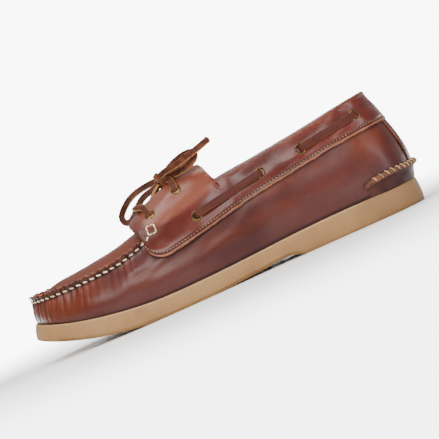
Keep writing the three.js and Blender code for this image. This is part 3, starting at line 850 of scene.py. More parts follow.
def crease_depth(points):
    """How far the creases lie in or stand out at these points."""
    total = np.zeros(points.shape[:-1])
    flat = points[..., [0, 2]]
    for s0, z0, s1, z1, depth, width in CREASES:
        start, way = np.array([s0, z0]), np.array([s1 - s0, z1 - z0])
        share = ((flat - start) @ way) / way.dot(way)
        bent = 2.2 * np.sin(share * 5 + s0)
        away = (flat - start) @ np.array([-way[1], way[0]]) / np.linalg.norm(way) + bent
        fade = smooth(share / 0.25) * smooth((1 - share) / 0.35)
        total -= depth * fade * (np.exp(-((away / width) ** 2)) - 0.55 * np.exp(-(((away - 1.7 * width) / width) ** 2)))
    return total


def gathers(u, down):
    """Pleats that the hand stitching draws into the vamp: height out of the wall, at a distance down from the seam."""
    phase = SEAM.phase(u)
    lobe = np.clip(np.floor(phase).astype(int), 0, SEAM.count)
    rib = u % RIB_COUNT
    corner = sum(np.exp(-(((rib - toe) / CORNER_REACH) ** 2)) for toe in TOE_CORNERS)
    reach = SEAM.reach[lobe] * (0.85 + 0.5 * corner)
    near = np.abs(np.sin(np.pi * phase)) ** 0.7 * SEAM.pull[lobe] * np.exp(-((down / reach) ** 1.4))
    long = phase * 0.62 + 0.25 * noise_line(phase * 0.4 + 3, 5) + down * 0.012
    ridge = 1 - np.abs(noise_line(long, 7)) ** 0.7 * 1.6
    far = ridge * np.exp(-((down - 5) / (16 + 8 * corner)) ** 2) * smooth(down / 4)
    fine = np.sin(phase * 2 * np.pi * 2.0 + 2 * noise_line(phase, 9)) * np.exp(-((down / 7) ** 2)) * 0.16 * corner
    sewn = (0.75 + 0.45 * corner) * near + (0.42 + 0.25 * corner) * far + fine - 0.35 * np.exp(-((down / 3) ** 2))
    return SEAM.inside(u) * sewn


def quarter_ribs():
    """Ribs for the upper's columns: close together round the sewn part."""
    seam = seam_ribs()
    back = np.linspace(seam[-1] - RIB_COUNT, seam[0], 150)[1:-1]
    return np.concatenate([back[back >= 0], seam, back[back < 0] + RIB_COUNT, [RIB_COUNT + back[back >= 0][0]]])


def make_upper():
    """The vamp and quarters, gathered into the seam round the toe."""
    us = quarter_ribs()
    vs = np.linspace(0, 1, 58)
    face = wall(us[:, None], vs)
    normal = wall_normal(us[:, None], vs)
    down = below_top(face)
    hold = smooth(vs / 0.12)
    lift = gathers(us[:, None] + 0 * vs, down) * hold
    lift += crease_depth(face) * hold * smooth(down / 6)
    soft = noise_sheet(us[:, None] * 2.2 + 0 * vs, down / 16, 21) * 0.45 * hold * smooth(down / 8)
    outer = face + normal * (lift + soft)[..., None]
    lips = np.linspace(0, 1, 6)[1:]
    phase = SEAM.phase(us)
    swell = np.sin(np.pi * phase) ** 2 * SEAM.inside(us)
    ragged = 0.35 * noise_line(phase * 1.7, 31) * SEAM.inside(us)
    height = lip_height(us) * LIP_SHARE - 0.5 * (1 - swell) * SEAM.inside(us) + ragged
    out = unit(normal[:, -1] * [1, 1, 0])
    lean = (0.5 * swell + 0.25 * noise_line(phase * 0.9, 33)) * SEAM.inside(us)
    pinch = -0.3 * np.sin(np.pi * lips) * (SEAM.inside(us) * (1 - 0.6 * swell))[:, None]
    rise = outer[:, -1:] + UP * (height[:, None] * lips)[..., None]
    rise = rise + out[:, None] * (lean[:, None] * lips**2 + pinch)[..., None]
    inner_face = face - normal * WALL
    inner_rise = inner_face[:, -1:] + (rise - outer[:, -1:])
    # Paler on the pleats' crests, for wear and as painted highlight, with a painted sheen under the band.
    rubbed_and_sheen = 0.6 * np.clip(lift / 0.9, 0, 1) * np.exp(-down / 16)
    rubbed_and_sheen = rubbed_and_sheen + 0.4 * spot(face, *SHEEN)
    # Painted shade: darker under the band's lower edge, next to the seam and in the hollows between pleats and creases.
    shade_under_band = np.where(RIB["topS"](us)[:, None] < BAND_FRONT, 1.0, 0.0) * np.exp(
        -np.clip(band_low(np.minimum(RIB["topS"](us), BAND_FRONT))[:, None] - face[..., 2], 0, 99) / 2.5)
    shade_by_seam = np.exp(-((down / 1.8) ** 2)) * SEAM.inside(us)[:, None] * 0.8
    shade_in_troughs = np.clip(-lift / 0.8, 0, 1) * 0.7 * np.exp(-down / 20)
    # Painted shade: a dark line along the foot, over the sole.
    foot = np.exp(-((vs / 0.032) ** 2))
    dark = np.clip(0.75 * shade_under_band + shade_by_seam + shade_in_troughs + foot, 0, 1)
    notes = noted(rubbed_and_sheen, warmth(face), dark, like=outer)
    lip_notes = noted(0.15, 0.2, 0.3, like=rise)
    return leather_piece(
        "vamp_and_quarters", ["quarter", "cut", "lining"], "wrap_leather", ["upper"],
        np.concatenate([outer, rise], 1), np.concatenate([inner_face, inner_rise], 1),
        np.concatenate([notes, lip_notes], 1), ring=True, steps=5)


def plug_grid(us, edge_in, drop, rows):
    """One face of the plug, from its middle line out to its turned-up edge."""
    top = wall(us, 1.0)
    along = wall(us + 0.05, 1.0) - wall(us - 0.05, 1.0)
    into = unit(np.stack([along[:, 1], -along[:, 0], 0 * along[:, 0]], -1))
    side = top + into * edge_in
    wide = (top + into * 6)[:, 0]
    spine_s = np.minimum((wide + wide[::-1]) / 2, PLUG_SPINE_END)
    spine = np.stack([spine_s, 0 * spine_s, crown(spine_s) - drop], -1)
    foot = side[:, 2] + 0.9 - drop
    r = rows[None, :, None]
    points = spine[:, None] + (side - spine)[:, None] * r
    centre = crown(np.minimum(points[..., 0], SOLE_LENGTH)) - drop
    share = rows[None, :] ** 2.2
    points[..., 2] = lerp(np.maximum(centre, foot[:, None]), foot[:, None], share)
    return points, side, into


def make_plug():
    """The moccasin plug, puckered along its seam, with its turned-up edge."""
    seam = seam_ribs(8)
    ends = (rib_at(PLUG_BACK, 1), RIB_COUNT + rib_at(PLUG_BACK, -1))
    us = np.concatenate([np.linspace(ends[0], seam[0], 14)[:-1], seam, np.linspace(seam[-1], ends[1], 14)[1:]])
    rows = 1 - (1 - np.linspace(0, 1, 40)) ** 1.35
    edge_in = 2 * WALL + GAP
    face, side, into = plug_grid(us, edge_in, 0, rows)
    under, _, _ = plug_grid(us, WALL + GAP + 0.1, WALL, rows)
    phase = SEAM.phase(us)
    inside = SEAM.inside(us)
    swell = np.sin(np.pi * phase) ** 2 * inside
    from_edge = np.linalg.norm(face - side[:, None], axis=-1)
    pucker = (swell[:, None] - 0.5) * 0.8 * np.exp(-from_edge / 4) * smooth(from_edge / 1.5)
    groove = -0.5 * np.exp(-(((from_edge - 1.5) / 2.0) ** 2)) * inside[:, None]
    dents = noise_sheet(face[..., 0] / 17, face[..., 1] / 15 + 20, 41) * 0.5 * smooth(from_edge / 8)
    face[..., 2] += pucker + groove + dents
    lips = np.linspace(0, 1, 7)[1:]
    height = lip_height(us) * LIP_SHARE - 0.4 * (1 - swell) * inside + 0.3 * noise_line(phase * 1.5, 43) * inside
    lean = (0.55 * swell + 0.3 * noise_line(phase * 0.8, 45)) * inside
    pinch = -0.45 * np.sin(np.pi * lips)[None] * (inside * (1 - 0.6 * swell))[:, None]
    base = face[:, -1:]
    rise = base + UP * (height[:, None] * lips - 0.6 * lips)[..., None]
    rise = rise + into[:, None] * (lean[:, None] * lips**2 + pinch)[..., None]
    under_rise = under[:, -1:] + (rise - base) + UP * ((base[..., 2] - under[:, -1:, 2]) * lips)[..., None]
    shade = np.exp(-((from_edge / 2.2) ** 2)) * inside[:, None] * 0.8
    notes = noted(0.25 * np.exp(-(((from_edge - 5) / 3) ** 2)), 0.3, shade, like=face)
    lip_notes = noted(0.15, 0.3, 0.3, like=rise)
    return leather_piece(
        "moccasin_plug", ["plug", "cut", "flesh"], "plug_leather", ["plug"],
        np.concatenate([face, rise], 1), np.concatenate([under, under_rise], 1),
        np.concatenate([notes, lip_notes], 1), rims=(False, True), steps=5)


def make_tongue():
    """The tongue under the bow."""
    s = np.linspace(TONGUE_BACK, PLUG_BACK - GAP, 40)
    f = np.linspace(-1, 1, 50)
    half = TONGUE_HALF * (1 - 0.14 * np.exp(-(s - TONGUE_BACK) / 4))
    top = np.empty((len(s), len(f), 3))
    top[..., 0] = s[:, None]
    top[..., 1] = half[:, None] * f
    top[..., 2] = crown(s)[:, None] - TONGUE_FALL * np.abs(f) ** 2.1
    top[..., 2] += noise_sheet(top[..., 0] / 9, top[..., 1] / 8 + 9, 51) * 0.5
    under = top - [0, 0, TONGUE_THICK]
    return leather_piece(
        "tongue_piece", ["flap", "cut", "lining"], "lining_leather", ["tongue"],
        top, under, noted(0, 0, 0, like=top))


class Band:
    """The collar band's surface with its lacing flaps, as a grid of ribs and rows."""

    def __init__(self, columns, rows):
        self.us = np.linspace(BAND_ENDS[0] + 1e-4, BAND_ENDS[1] - 1e-4, columns)
        self.base = respaced(band_lines(self.us), rows)
        self.normal = grid_normals(self.base)
        self.lift = instep_lift(RIB["topS"](self.us))[:, None, None]
        self.outer = self.base + self.normal * (GAP + BAND + self.lift)

    def seat(self, s, z, side):
        """The place on the outer face with this station and height, and the way out."""
        off = (self.outer[..., 0] - s) ** 2 + (self.outer[..., 2] - z) ** 2
        off = off + np.where(np.sign(self.outer[..., 1]) == side, 0, 1e6)
        nearest = np.argsort(off, axis=None)[:4]
        weight = 1 / (off.flat[nearest] + 0.02)
        weight = (weight / weight.sum())[:, None]
        at = (self.outer.reshape(-1, 3)[nearest] * weight).sum(0)
        return at, unit((self.normal.reshape(-1, 3)[nearest] * weight).sum(0))


FINE_BAND = Band(640, 110)
HEM_UP = 2.4  # how far the machine stitches lie from the band's lower edge


def make_band():
    """The collar band with its lacing flaps."""
    band = Band(330, 64)
    s = RIB["topS"](band.us)
    w = np.linspace(0, 1, 65)
    up = run_along(band.base)
    puff = 0.55 * np.exp(-(((up - 9) / 5.5) ** 2)) * smooth((150 - s) / 30)[:, None]
    hem = -0.4 * np.exp(-(((up - HEM_UP) / 0.9) ** 2))
    ripple = noise_sheet(band.us[:, None] * 3.1 + 40 + 0 * w, up / 7, 61) * 0.45
    ripple = ripple * (1 - spot(band.base, *CALM_CORNER))
    ragged = 0.25 * noise_line(band.us * 9 + 100, 63)[:, None] * np.exp(-up / 1.5)
    outer = band.outer + band.normal * (puff + hem + ripple * smooth(up / 4))[..., None]
    outer[..., 2] += ragged
    inner = band.base + band.normal * (GAP + band.lift)
    inner[..., 2] += ragged
    # Paler along the cut lower edge for wear, and painted highlight on the ripples' crests.
    rubbed_and_sheen = 0.9 * np.exp(-((up / 0.55) ** 2)) + 0.2 * np.clip(ripple * 2, 0, 1)
    flap = smooth((s[:, None] - 128) / 12) * smooth((up - 17) / 12) * (1 - 0.55 * smooth((s[:, None] - 182) / 12))
    fold = 0.35 * np.exp(-(((up - 16) / 3.5) ** 2)) * smooth((150 - s) / 20)[:, None]
    shade = 0.8 * np.exp(-((up - HEM_UP) ** 2)) + fold
    return leather_piece(
        "collar_band_looks", ["band", "dark_cut", "lining"], "wrap_leather", ["collar_band"],
        outer, inner, noted(rubbed_and_sheen, flap, shade, like=outer), steps=4)


ROLL_END = 140
ROLL_OUT, ROLL_IN = 2.35, 2.5
# Distance down from the collar's edge and extra offset, on the outer face upwards and the inner face downwards.
ROLL_FACE = ((2.2, -0.9), (1.6, -0.3), (0.8, 0.0), (0, 0.1))
ROLL_BACK = ((0, 0.1), (2, 0.2), (5, 0.25), (8, 0.2), (10.5, 0.15), (11.2, -0.3))


def make_roll():
    """The leather rolled over the collar's edge and stitched down inside."""
    us = np.linspace(rib_at(ROLL_END, -1), rib_at(ROLL_END, 1), 260)
    vs = np.linspace(0, 1, 90)
    face, normal = wall(us[:, None], vs), wall_normal(us[:, None], vs)
    down = below_top(face)

    def at_depth(depth, offset):
        found = np.empty((len(us), 3))
        for k in range(len(us)):
            order = down[k][::-1]
            spot = [np.interp(depth, order, face[k, ::-1, c]) for c in range(3)]
            way = [np.interp(depth, order, normal[k, ::-1, c]) for c in range(3)]
            found[k] = np.array(spot) + np.array(way) * offset
        return found

    swell = 0.15 * noise_line(us * 5 + 50, 71)[:, None]
    lines = [at_depth(depth, ROLL_OUT + more) for depth, more in ROLL_FACE]
    top, way = face[:, -1], normal[:, -1]
    up = unit(face[:, -1] - face[:, -2])
    centre = top + way * (ROLL_OUT - ROLL_IN) / 2
    radius = (ROLL_OUT + ROLL_IN) / 2 + 0.1
    for a in np.linspace(0, math.pi, 12)[1:-1]:
        lines.append(centre + way * math.cos(a) * radius + up * math.sin(a) * (radius * 0.85 + swell))
    lines += [at_depth(depth, -(ROLL_IN + more)) for depth, more in ROLL_BACK]
    outer = np.stack(lines, 1)
    inner = centre[:, None] + (outer - centre[:, None]) * 0.82
    return leather_piece(
        "collar_roll", ["band", "dark_cut", "lining"], "wrap_leather", [],
        outer, inner, noted(0.3, 0.15, 0, like=outer), steps=3)


def plate(outline_top, outline_bottom, height_top, height_bottom, sides, us, spine_rows):
    """A closed plate between two outlines, and how many rows its top has.

    sides gives the rim's rows from the two edges and the way out.
    """
    mirror = (-us) % RIB_COUNT
    out = outward(us)

    def face(outline, height):
        mine, other = outline(us), outline(mirror)
        rows = mine[:, None] + ((other - mine) / 2)[:, None] * spine_rows[None, :, None]
        rows[..., 2] = height(rows[..., 0])
        return rows

    top, bottom = face(outline_top, height_top), face(outline_bottom, height_bottom)
    rim = sides(top[:, 0], bottom[:, 0], out)
    return np.concatenate([top[:, ::-1], rim, bottom], axis=1), len(spine_rows)


def tread_edge(u):
    """The tread's outline at rib u, on the floor plane."""
    p = edge(u)
    slope = (sole_top(p[..., 0] + 2) - sole_top(p[..., 0] - 2)) / 4
    depth = sole_top(p[..., 0]) - sole_bottom(p[..., 0])
    forward = smooth((p[..., 0] - BALL_FLAT[1]) / 70) * slope * depth * 0.85
    p[..., 0] += forward
    return p + outward(u) * 0.2


def make_outsole():
    """The rubber sole, with rounded rims."""
    us = np.linspace(0, RIB_COUNT, RIB_COUNT * 18 + 1)
    top_round, low_round, bulge = 0.9, 1.4, 0.7

    def sides(a, b, out):
        rows = []
        for angle in np.linspace(0, math.pi / 2, 5)[1:]:
            inset, drop = 1 - math.sin(angle), 1 - math.cos(angle)
            rows.append(a - out * top_round * inset - UP * top_round * drop)
        for f in np.linspace(0.1, 0.9, 9):
            rows.append(lerp(a, b, f) + out * bulge * math.sin(f * math.pi))
        for angle in np.linspace(0, math.pi / 2, 5)[:-1]:
            inset, lift = 1 - math.cos(angle), 1 - math.sin(angle)
            rows.append(b - out * low_round * inset + UP * low_round * lift)
        return np.stack(rows, 1)

    spine_rows = np.concatenate([[0.03], np.linspace(0.06, 1, 9)])
    points, flat_rows = plate(edge, tread_edge, sole_top, sole_bottom, sides, us, spine_rows)
    # Painted highlight: paler rows round the sole's upper rounded edge, less of it towards the heel.
    edge_highlight_share = np.zeros(points.shape[1])
    edge_highlight_share[flat_rows - 1:flat_rows + 4] = 1
    edge_highlight_share[flat_rows + 4:flat_rows + 6] = 0.4
    bm = bmesh.new()
    # Darker towards the heel.
    heel_darkening = 0.6 * smooth((70 - points[..., 0]) / 60)
    add_grid(bm, points, noted(edge_highlight_share[None, :] * (1 - heel_darkening), heel_darkening, 0, like=points))
    return finish_piece(bm, "rubber_sole", ["rubber"], ["outsole"])


def make_insole():
    """The insole board."""
    inset = LEDGE + WALL + INSOLE_CLEAR
    us = np.linspace(0, RIB_COUNT, RIB_COUNT * 10 + 1)

    def outline(u):
        return edge(u) - outward(u) * inset

    def low(s):
        return sole_top(s) + GAP

    def high(s):
        return low(s) + INSOLE_THICK

    def sides(a, b, out):
        return np.stack([lerp(a, b, f) + out * 0.4 * math.sin(f * math.pi) for f in (0.2, 0.5, 0.8)], 1)

    points, _ = plate(outline, outline, high, low, sides, us, np.linspace(0, 1, 10))
    bm = bmesh.new()
    add_grid(bm, points)
    return finish_piece(bm, "insole_board", ["insole"], ["insole"])


STRIP_HALF, STRIP_PROUD = 13.5, 1.1
RIDGE_HEIGHT, RIDGE_PROUD, RIDGE_STITCHES = 28.8, 2.7, 24
TAB_HEIGHTS, STRIP_HEIGHTS = (17.9, 29.6), (29.0, 65.8)


def heel_face(us, heights, lift):
    """Points over the heel at these ribs and heights, stood off the upper by lift."""
    us, heights = np.broadcast_arrays(np.asarray(us, float), np.asarray(heights, float))
    v = wall_at_height(us, heights)
    return wall(us, v) + wall_normal(us, v) * np.asarray(lift)[..., None]


def ridge_line(us):
    """The middle of the sewn ridge, which bends down and in at its two ends."""
    end = np.clip((np.abs(us) - HEEL_TAB_REACH + 0.35) / 0.35, 0, 1)
    height = RIDGE_HEIGHT - 2.5 * end**2 + 0.35 * noise_line(us * 4 + 30, 83)
    return heel_face(us, height, RIDGE_PROUD - 1.2 * end**2)


def make_heel():
    """The heel tab, the lumpy ridge where it is sewn, and the strip that runs up from it to the collar band."""
    heights = np.linspace(*TAB_HEIGHTS, 26)[None, :]
    us = np.linspace(-HEEL_TAB_REACH, HEEL_TAB_REACH, 150)[:, None]
    fade = smooth((HEEL_TAB_REACH - np.abs(us)) / 0.45)
    fold = np.abs(np.sin(us * RIDGE_STITCHES * math.pi / (2 * HEEL_TAB_REACH)))
    lift = GAP + fade * (1.1 + 1.3 * smooth((heights - 24) / 5)) + 0.22 * fold * smooth((heights - 23) / 5) * fade
    outer, inner = heel_face(us, heights, lift + 0.15), heel_face(us, heights, 0.1 + 0 * lift)
    # Painted shade under the ridge: the tab darkened in blotches, fading out towards its ends.
    blotches = noise_sheet(us * 5 + 40 + 0 * heights, heights / 4 + 0 * us, 87)
    tab = leather_piece(
        "heel_tab_looks", ["heel", "heel", "lining"], "heel_leather", ["heel_tab"],
        outer, inner, noted(0.1, 0.1, fade * (0.5 + 0.3 * blotches), like=outer), steps=4)

    us = np.linspace(-HEEL_TAB_REACH - 0.05, HEEL_TAB_REACH + 0.05, 420)
    line = ridge_line(us)
    lump = np.abs(np.sin((us / (2 * HEEL_TAB_REACH) + 0.5) * RIDGE_STITCHES * math.pi))
    size = 1 + 0.22 * lump + 0.12 * noise_line(us * 11 + 60, 85)
    bm = bmesh.new()
    strap(bm, line, np.repeat([UP], len(line), 0), 3.5 * size, 2.9 * size, square=0.8, round_ends=1.5)
    ridge = finish_piece(bm, "heel_ridge", ["ridge"])

    reach = float(solve(lambda x: np.linalg.norm(wall(x, 0.5) - wall(0.0, 0.5), axis=-1), STRIP_HALF, 0.0, 3.0))
    us = np.linspace(-reach, reach, 60)[:, None]
    rise = np.linspace(*STRIP_HEIGHTS, 50)[None, :]
    side = np.abs(us) / reach
    groove = 0.35 * np.exp(-(((side - 0.84) / 0.05) ** 2))
    uneven = 0.15 * noise_sheet(us * 6 + 9 + 0 * rise, rise / 7 + 0 * us, 81)
    lift = GAP + STRIP_PROUD - groove + uneven
    outer, inner = heel_face(us, rise, lift), heel_face(us, rise, 0.1 + 0 * lift)
    strip = leather_piece(
        "heel_strip", ["heel", "dark_cut", "lining"], "heel_leather", [],
        outer, inner, noted(0.3 * side**6, 0.25, 0.8 * side**14, like=outer))
    return tab, ridge, strip


# ---- sewing -----------------------------------------------------------------------------------------------------
# Face, inset and height of each row of thread, the gap left at a stitch's ends, and the thread's radius.
SEAM_THREADS = (("vamp", -0.3, 0.5, 0.18, 0.58), ("plug", 2 * WALL + GAP + 0.2, 1.7, 0.22, 0.5))
BAND_STITCHES = 175


def hand_stitches():
    """Thick cream stitches on both faces of the standing seam."""
    bm = bmesh.new()
    numbers = np.arange(SEAM.count)
    for face, inset, height, gap, radius in SEAM_THREADS:
        a, b = SEAM.rib(numbers + gap), SEAM.rib(numbers + 1 - gap)
        middle = SEAM.rib(numbers + 0.5)
        out = unit(wall_normal(middle, 1.0) * [1, 1, 0])
        shift = -out * inset + UP * height
        first, last = wall(a, 1.0) + shift, wall(b, 1.0) + shift
        slant = UP * 0.35
        arch = out if face == "vamp" else -out
        threads(bm, first - slant, last + slant, arch, radius, bow=0.35, steps=8, sides=8)
    return finish_piece(bm, "hand_stitches", ["thread"])


def band_stitches():
    """Fine machine stitches along the band's lower edge and up the heel strip."""
    bm = bmesh.new()
    band = FINE_BAND
    up = run_along(band.base)
    line, ways = np.empty((len(band.us), 3)), np.empty((len(band.us), 3))
    for k in range(len(band.us)):
        line[k] = [np.interp(HEM_UP, up[k], band.outer[k, :, c]) for c in range(3)]
        ways[k] = [np.interp(HEM_UP, up[k], band.normal[k, :, c]) for c in range(3)]
    row = respaced(line[None], 2 * BAND_STITCHES)[0]
    nearest = np.linalg.norm(row[:, None] - line[None], axis=-1).argmin(1)
    out = ways[nearest]
    row = row - out * 0.25
    threads(bm, row[:-1:2], lerp(row[:-1:2], row[1::2], 1.35), out[:-1:2], 0.3, bow=0.28, steps=4, sides=6)
    return finish_piece(bm, "band_stitches", ["fine_thread"])


BOX = (190.3, 60.5, 6.0)  # station, height and size of the sewn box at each flap's foot


def box_stitches():
    """A box of thick thread at each flap's foot, with a tail forwards and down."""
    bm = bmesh.new()
    s0, z0, size = BOX
    for side in (1, -1):
        corners = [(-1, -1), (1, -1), (1, 1), (-1, 1), (-1, -1)]
        for (a, b), (c, d) in zip(corners, corners[1:]):
            for share in (0.0, 0.5):
                ends = []
                for f in (share, share + 0.5):
                    s, z = s0 + lerp(a, c, f) * size / 2, z0 + lerp(b, d, f) * size / 2
                    at, out = FINE_BAND.seat(s, z, side)
                    ends.append(at + out * 0.05)
                threads(bm, ends[:1], ends[1:], [out], 0.6, bow=0.3, steps=6, sides=8)
        tail = [FINE_BAND.seat(s0 + size * a, z0 - size * a, side) for a in (0.62, 1.0)]
        threads(bm, [tail[0][0]], [tail[1][0]], [tail[1][1]], 0.68, bow=0.5, steps=6, sides=8)
    return finish_piece(bm, "box_stitches", ["thread"])


def heel_stitches():
    """Thread wrapped over the heel's ridge on a slant."""
    bm = bmesh.new()
    share = (np.arange(RIDGE_STITCHES) + 0.5) / RIDGE_STITCHES
    us = lerp(-HEEL_TAB_REACH + 0.12, HEEL_TAB_REACH - 0.12, share)
    slant = 0.035 * np.where(us > 0, 1, -1)
    for k, u in enumerate(us):
        around = np.linspace(-0.5, math.pi * 0.62, 9)
        across = np.linspace(-1, 1, 9) * slant[k]
        middle, out = ridge_line(u + across), wall_normal(u + across, 0.2)
        line = middle + out * (np.cos(around) * 2.05)[:, None] + UP * (np.sin(around) * 2.35)[:, None]
        side = np.repeat(unit(line[-1] - line[0])[None], 9, 0)
        strap(bm, line, np.cross(side, out), 0.9, 0.7, sides=8, square=1, round_ends=0.5)
    return finish_piece(bm, "heel_stitches", ["dull_thread"])


# ---- eyelets and lace -------------------------------------------------------------------------------------------
FLANGE, HOLE, RISE_OUT = 4.1, 2.55, 0.8
EYELET_PROFILE = [
    (HOLE - 0.1, -1.2), (HOLE - 0.05, 0.3), (HOLE + 0.25, RISE_OUT + 0.1), (HOLE + 0.8, RISE_OUT + 0.42),
    (FLANGE - 1.0, RISE_OUT + 0.3), (FLANGE - 0.35, RISE_OUT - 0.05), (FLANGE - 0.02, 0.4), (FLANGE - 0.05, -0.4),
]
EYELET_SIDES = 28
COLLAR_EYELETS = [(24.5, 76), (70, 70), (102.5, 66), (156.5, 56.5)]
FLAP_EYELETS = [(187, 70.5), (163, 79.5)]


def all_seats():
    """The place of every eyelet and the way out of it, by name."""
    found = {}
    for side, name in ((1, "outer"), (-1, "inner")):
        for kind, rows in (("collar", COLLAR_EYELETS), ("flap", FLAP_EYELETS)):
            for k, (s, z) in enumerate(rows):
                found[f"eyelet_{name}_{kind}_{k + 1}"] = FINE_BAND.seat(s, z, side)
    return found


def make_eyelets():
    """The brass eyelets, each with a near-black round sheet across its opening as painted shade."""
    made = []
    for name, (at, out) in all_seats().items():
        bm = bmesh.new()
        vertices = [bm.verts.new((r * 0.001, 0, z * 0.001)) for r, z in EYELET_PROFILE]
        edges = [bm.edges.new(pair) for pair in zip(vertices, vertices[1:])]
        bmesh.ops.spin(
            bm, geom=vertices + edges, cent=(0, 0, 0), axis=(0, 0, 1), steps=EYELET_SIDES, angle=2 * math.pi,
            use_merge=True)
        # A near-black round sheet across the opening: painted shade.
        shade_disc = bmesh.ops.create_circle(bm, cap_ends=True, segments=EYELET_SIDES, radius=HOLE * 0.001)["verts"]
        for vertex in shade_disc:
            vertex.co.z = 0.0002
        for face in shade_disc[0].link_faces:
            face.material_index = 1
        way = Vector((out[1], -out[0], out[2]))
        turn = way.to_track_quat("Z", "Y").to_matrix().to_4x4()
        bmesh.ops.transform(bm, matrix=Matrix.Translation(place(at)) @ turn, verts=bm.verts)
        made.append(finish_piece(bm, name + "_looks", ["brass", "hole"], [name]))
    return made


LACE_WIDE, LACE_THICK = 4.8, 3.0
SIDE_LACE_THICK = 2.4
SIDE_LACE_LIFT = np.array([1.9, 2.1, 1.75, 1.55, 1.5, 1.55, 1.75, 2.1, 1.9])


def side_lace(first, last, side, name):
    """A stretch of lace lying flat on the band, going down into an eyelet at each end."""
    shares = np.linspace(0, 1, 9)
    seats = [FINE_BAND.seat(lerp(first[0], last[0], f), lerp(first[1], last[1], f), side) for f in shares]
    spots, outs = np.array([s[0] for s in seats]), unit(np.array([s[1] for s in seats]))
    way = unit(spots[-1] - spots[0])
    body = spots + outs * SIDE_LACE_LIFT[:, None]
    start = [spots[0] - outs[0] * 1.6 - way * 0.4, spots[0] + outs[0] * 0.6 - way * 0.1]
    end = [spots[-1] + outs[-1] * 0.6 + way * 0.1, spots[-1] - outs[-1] * 1.6 + way * 0.4]
    body[0] += way * 1.2
    body[-1] -= way * 1.2
    line = drawn(start + list(body) + end, 0.7)
    share = np.linspace(0, 1, len(line))
    across = np.cross(outs[(share * 8).round().astype(int)], way)
    for _ in range(6):
        across[1:-1] = (across[:-2] + across[1:-1] + across[2:]) / 3
    ends = np.minimum(share, 1 - share) * len(line) * 0.7
    wide = lerp(3.6, 5.9, smooth(ends / 8)) + 0.12 * np.sin(share * 23)
    bm = bmesh.new()
    strap(bm, line, across, wide, SIDE_LACE_THICK, mark=0.8)
    return finish_piece(bm, name + "_looks", ["lace"], [name])


KNOT = (169, 0, 89)
BIG_LOOP = [
    (172.5, -6.5, 91), (177, -13, 90.8), (184, -22, 90.2), (191, -32, 89), (198, -41, 86.5), (204.5, -47.5, 82),
    (208.6, -49.5, 77.6), (209.2, -48, 73.6), (206.8, -44, 70.9), (202.6, -38, 71.8), (197, -29, 76.3),
    (190, -20, 82.2), (183, -12, 85), (177.5, -5.5, 86),
]
SMALL_LOOP = [
    (165, 6, 93.5), (160, 9, 96.3), (153.5, 13.5, 98.8), (147, 18, 100.2), (141.5, 22.5, 99.6), (140.5, 25.5, 96.2),
    (145, 25, 92.6), (151, 21, 90.8), (157.5, 16, 90), (162, 11, 90),
]
OUTER_END = [
    (171, 7.5, 92.3), (164, 15, 94.6), (156, 22.5, 95.6), (147, 28.5, 97.6), (137, 31.5, 100.2), (126, 34, 103.5),
]
INNER_END = [(163, -6.5, 92.5), (157, -14, 93.5), (151, -24, 94.6), (146.5, -34, 95.2), (143, -44, 95.5)]
RISE = [(163.6, 17, 86.3), (164.6, 13.5, 87.9), (166, 9.5, 88.7), (167.3, 6, 89)]
FRONT_BAR = [(189.5, 19.5, 76.4), (192.8, 16, 78), (195.5, 10, 78.8), (196, 0, 79)]
CROSSING = [(186.5, 6, 74.5), (184, 4.5, 77.5), (179.5, 2.5, 82), (175, 0.8, 85.8), (171, 0, 88)]
BOW_FACE = (0.15, 1.0, 0.35)  # the way that the lace's flat mostly faces in the bow, in shoe terms


def facing(line, face, settle=9):
    """Across directions that keep a strap's flat turned towards face, eased where the line runs along it."""
    ways = unit(np.gradient(line, axis=0))
    across = np.cross(ways, face)
    for k in range(1, len(across)):
        if across[k].dot(across[k - 1]) < 0:
            across[k] = -across[k]
    for _ in range(settle):
        across[1:-1] = (across[:-2] + across[1:-1] + across[2:]) / 3
    return unit(across)


def half_lace(name, side, loop, end, turns, across, stands_for):
    """One half of the lace, from its upper eyelet through the knot, round its loop and out to its cut end."""
    seat, out = FINE_BAND.seat(*FLAP_EYELETS[1], side)
    rise = [(s, t * side, z) for s, t, z in RISE]
    into, back = turns
    route = [seat - out * 1.0, seat + out * 1.6, *rise, *into, *loop, *back, *end]
    line = drawn(route, 1.0)
    bm = bmesh.new()
    strap(bm, line, facing(line, across), LACE_WIDE, LACE_THICK, round_ends=0.35)
    piece = finish_piece(bm, name, ["lace"], stands_for)
    tuple(place(line[0]))
    [tuple(p) for p in place(line)]
    return piece


KNOT_RUN = (-0.85, 0, 0.53)  # the way that the strands run through the knot


